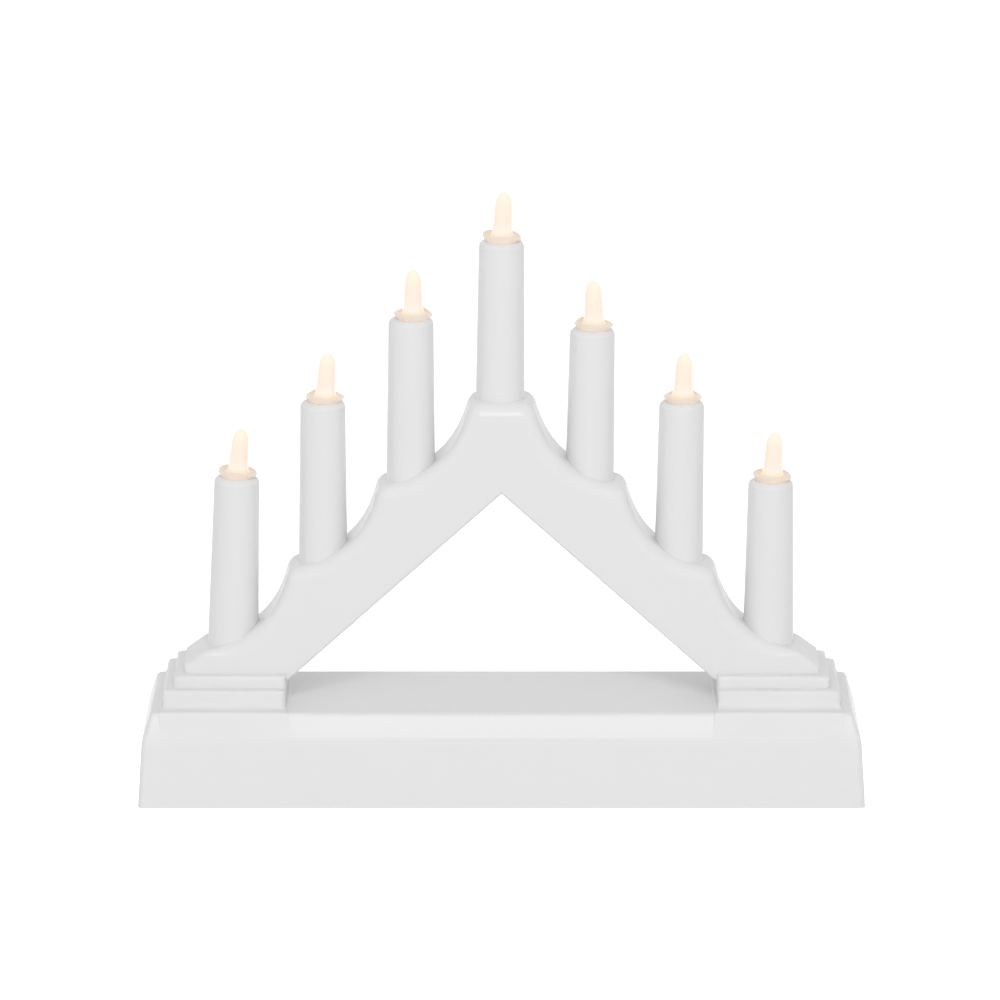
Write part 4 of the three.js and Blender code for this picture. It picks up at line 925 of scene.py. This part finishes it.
def make_knob():
    """Switch knob with grip grooves, on the shoe that slides in the switch."""
    half = KNOB_LENGTH / 2
    wide = half + SHOE_MARGIN
    knob = tapered([(KNOB_X - half, KNOB_X + half, KNOB_WIDTH / 2, KNOB_FOOT),
                    (KNOB_X - half, KNOB_X + half, KNOB_WIDTH / 2, SHOE_FOOT),
                    (KNOB_X - wide, KNOB_X + wide, KNOB_WIDTH / 2 + SHOE_MARGIN, SHOE_FOOT),
                    (KNOB_X - wide, KNOB_X + wide, KNOB_WIDTH / 2 + SHOE_MARGIN, SHOE_TOP)], KNOB_CORNER)
    grooves = []
    for groove in range(GROOVES):
        x = KNOB_X + (groove - (GROOVES - 1) / 2) * GROOVE_PITCH
        grooves.append(block([x - GROOVE_WIDTH / 2, -KNOB_WIDTH, KNOB_FOOT - OVERRUN],
                             [x + GROOVE_WIDTH / 2, KNOB_WIDTH, KNOB_FOOT + GROOVE_DEPTH]))
    knob = combined(knob, grooves, "DIFFERENCE")
    finish_piece(knob, "switch_knob", [BLACK], ["switch_slider"], "slider")


def lying(node, cell, towards):
    """Matrix that lays a turned piece on a cell's axis, from the end of a node that it points away from."""
    low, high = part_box(node)
    cell_low, cell_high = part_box(cell)
    end = low[0] if towards > 0 else high[0]
    middle = (Vector(cell_low) + Vector(cell_high)) / 2
    place = Matrix.Translation(Vector((end, middle.y, middle.z)) / MM)
    return place @ Matrix.Rotation(towards * math.pi / 2, 4, "Y")


def coil():
    """Spring that narrows from its foot to its tip."""
    bm = bmesh.new()
    bmesh.ops.create_circle(bm, segments=WIRE_SIDES, radius=SPRING_WIRE)
    bmesh.ops.rotate(bm, matrix=Matrix.Rotation(math.pi / 2, 3, "X"), cent=(0, 0, 0), verts=bm.verts)
    bmesh.ops.translate(bm, vec=(SPRING_BASE_RADIUS, 0, SPRING_WIRE), verts=bm.verts)
    steps = SPRING_CURLS * CURL_STEPS
    rise = (SPRING_LENGTH - 2 * SPRING_WIRE) / steps
    bmesh.ops.spin(bm, geom=bm.verts[:] + bm.edges[:], axis=(0, 0, 1), cent=(0, 0, 0), dvec=(0, 0, rise),
                   angle=SPRING_CURLS * 2 * math.pi, steps=steps)
    bmesh.ops.holes_fill(bm, edges=bm.edges[:])
    for vert in bm.verts:
        narrow = 1 + (SPRING_TIP_RADIUS / SPRING_BASE_RADIUS - 1) * vert.co.z / SPRING_LENGTH
        vert.co.x *= narrow
        vert.co.y *= narrow
    clean(bm)
    return bm


def make_cells():
    """Two cells that lie head to tail, each with its spring."""
    for number, towards in ((1, 1), (2, -1)):
        cell = f"battery_{number}"
        spring = f"battery_spring_{number}"
        bm = spun(CELL_PROFILE, TUBE_SIDES)
        for face in bm.faces:
            face.material_index = int(least_reach(face) < SLEEVE_INNER - SAME_POINT)
        bmesh.ops.transform(bm, matrix=lying(cell, cell, towards), verts=bm.verts)
        finish_piece(bm, f"sleeved_cell_{number}", [SLEEVE, STEEL], [cell])
        bm = coil()
        bmesh.ops.transform(bm, matrix=lying(spring, cell, towards), verts=bm.verts)
        finish_piece(bm, f"cell_spring_{number}", [STEEL], [spring])


# Stage: pale floor, soft light from the front and the camera

def seen_rays(tree):
    """1 for rays from the camera, a mirror or glass, 0 for the light's own rays."""
    path = tree.nodes.new("ShaderNodeLightPath")
    total = path.outputs["Is Camera Ray"]
    for kind in ("Is Glossy Ray", "Is Transmission Ray"):
        both = tree.nodes.new("ShaderNodeMath")
        both.operation = "MAXIMUM"
        tree.links.new(total, both.inputs[0])
        tree.links.new(path.outputs[kind], both.inputs[1])
        total = both.outputs[0]
    return total


def make_floor():
    """Pale floor that is clear from below, and leaves the light that it throws back to the world."""
    bm = bmesh.new()
    bmesh.ops.create_grid(bm, x_segments=1, y_segments=1, size=FLOOR_REACH)
    bmesh.ops.translate(bm, vec=(0, 0, -FLOOR_GAP), verts=bm.verts)
    mesh = bpy.data.meshes.new("floor")
    bm.to_mesh(mesh)
    bm.free()
    floor = bpy.data.objects.new("floor", mesh)
    bpy.context.scene.collection.objects.link(floor)
    material, tree, bsdf = new_material("pale_floor")
    bsdf.inputs["Base Color"].default_value = FLOOR_SHADE
    bsdf.inputs["Roughness"].default_value = FLOOR_ROUGHNESS
    bsdf.inputs["Specular IOR Level"].default_value = 0.0
    bsdf.inputs["Emission Color"].default_value = PURE_WHITE
    seen = seen_rays(tree)
    share = tree.nodes.new("ShaderNodeMath")
    share.operation = "MULTIPLY"
    share.inputs[1].default_value = FLOOR_GLOW
    tree.links.new(seen, share.inputs[0])
    tree.links.new(share.outputs[0], bsdf.inputs["Emission Strength"])
    clear = tree.nodes.new("ShaderNodeBsdfTransparent")
    side = tree.nodes.new("ShaderNodeNewGeometry")
    either = tree.nodes.new("ShaderNodeMixShader")
    tree.links.new(side.outputs["Backfacing"], either.inputs[0])
    tree.links.new(bsdf.outputs[0], either.inputs[1])
    tree.links.new(clear.outputs[0], either.inputs[2])
    tree.links.new(either.outputs[0], tree.nodes["Material Output"].inputs["Surface"])
    mesh.materials.append(material)
    floor.visible_diffuse = False
    floor.visible_shadow = False


def make_world():
    """White world, whose lower half stands for the light that a pale floor throws back."""
    world = bpy.data.worlds.new("studio")
    bpy.context.scene.world = world
    world.use_nodes = True
    tree = world.node_tree
    light = tree.nodes["Background"]
    light.inputs["Color"].default_value = PURE_WHITE
    way = tree.nodes.new("ShaderNodeTexCoord")
    axes = tree.nodes.new("ShaderNodeSeparateXYZ")
    upper = tree.nodes.new("ShaderNodeMath")
    upper.operation = "GREATER_THAN"
    upper.inputs[1].default_value = 0.0
    tree.links.new(way.outputs["Generated"], axes.inputs[0])
    tree.links.new(axes.outputs["Z"], upper.inputs[0])
    vary(tree, upper.outputs[0], LIGHT_BELOW, LIGHT_ABOVE, light.inputs["Strength"])
    white = tree.nodes.new("ShaderNodeBackground")
    white.inputs["Color"].default_value = PURE_WHITE
    white.inputs["Strength"].default_value = 1.0
    either = tree.nodes.new("ShaderNodeMixShader")
    tree.links.new(seen_rays(tree), either.inputs[0])
    tree.links.new(light.outputs[0], either.inputs[1])
    tree.links.new(white.outputs[0], either.inputs[2])
    tree.links.new(either.outputs[0], tree.nodes["World Output"].inputs["Surface"])


def softbox(name, place, width, height, power, lights=True, gleams=True, only=()):
    """Flat lamp that lights surfaces, shows as a gleam in their gloss, or both, on all pieces or a few."""
    data = bpy.data.lights.new(name, "AREA")
    data.shape = "RECTANGLE"
    data.size = width
    data.size_y = height
    data.energy = power
    lamp = bpy.data.objects.new(name, data)
    lamp.location = place
    lamp.rotation_euler = (Vector(LAMP_AIM) - Vector(place)).to_track_quat("-Z", "Y").to_euler()
    lamp.visible_diffuse = lights
    lamp.visible_glossy = gleams
    if only:
        lamp.light_linking.receiver_collection = bpy.data.collections.new(f"{name}_pieces")
        for piece in only:
            lamp.light_linking.receiver_collection.objects.link(bpy.data.objects[piece])
    bpy.context.scene.collection.objects.link(lamp)


def make_camera():
    """Camera at the photograph's viewing angle."""
    data = bpy.data.cameras.new("camera")
    data.lens = LENS
    data.sensor_width = SENSOR
    camera = bpy.data.objects.new("camera", data)
    camera.location = CAMERA_PLACE
    camera.rotation_euler = (math.radians(CAMERA_TILT), 0, 0)
    bpy.context.scene.collection.objects.link(camera)
    bpy.context.scene.camera = camera


make_arch()
make_tubes()
make_flames()
make_base()
make_screws()
make_door()
make_knob()
make_cells()
dress_nodes()
make_floor()
make_world()
softbox("key_light", *KEY_LAMP, gleams=False)
softbox("fill_light", *FILL_LAMP, gleams=False)
softbox("left_light", *LEFT_LAMP)
softbox("right_light", *RIGHT_LAMP)
softbox("rear_light", *REAR_LAMP, gleams=False)
softbox("shoulder_light", *SHOULDER_GLEAM, lights=False, only=["base_moulding"])
softbox("gleam_light", *ARCH_GLEAM, lights=False,
        only=["arch_front_moulding", *(f"candle_{number}" for number in range(1, len(CANDLES) + 1))])
make_camera()
bpy.context.scene.view_settings.view_transform = "Standard"
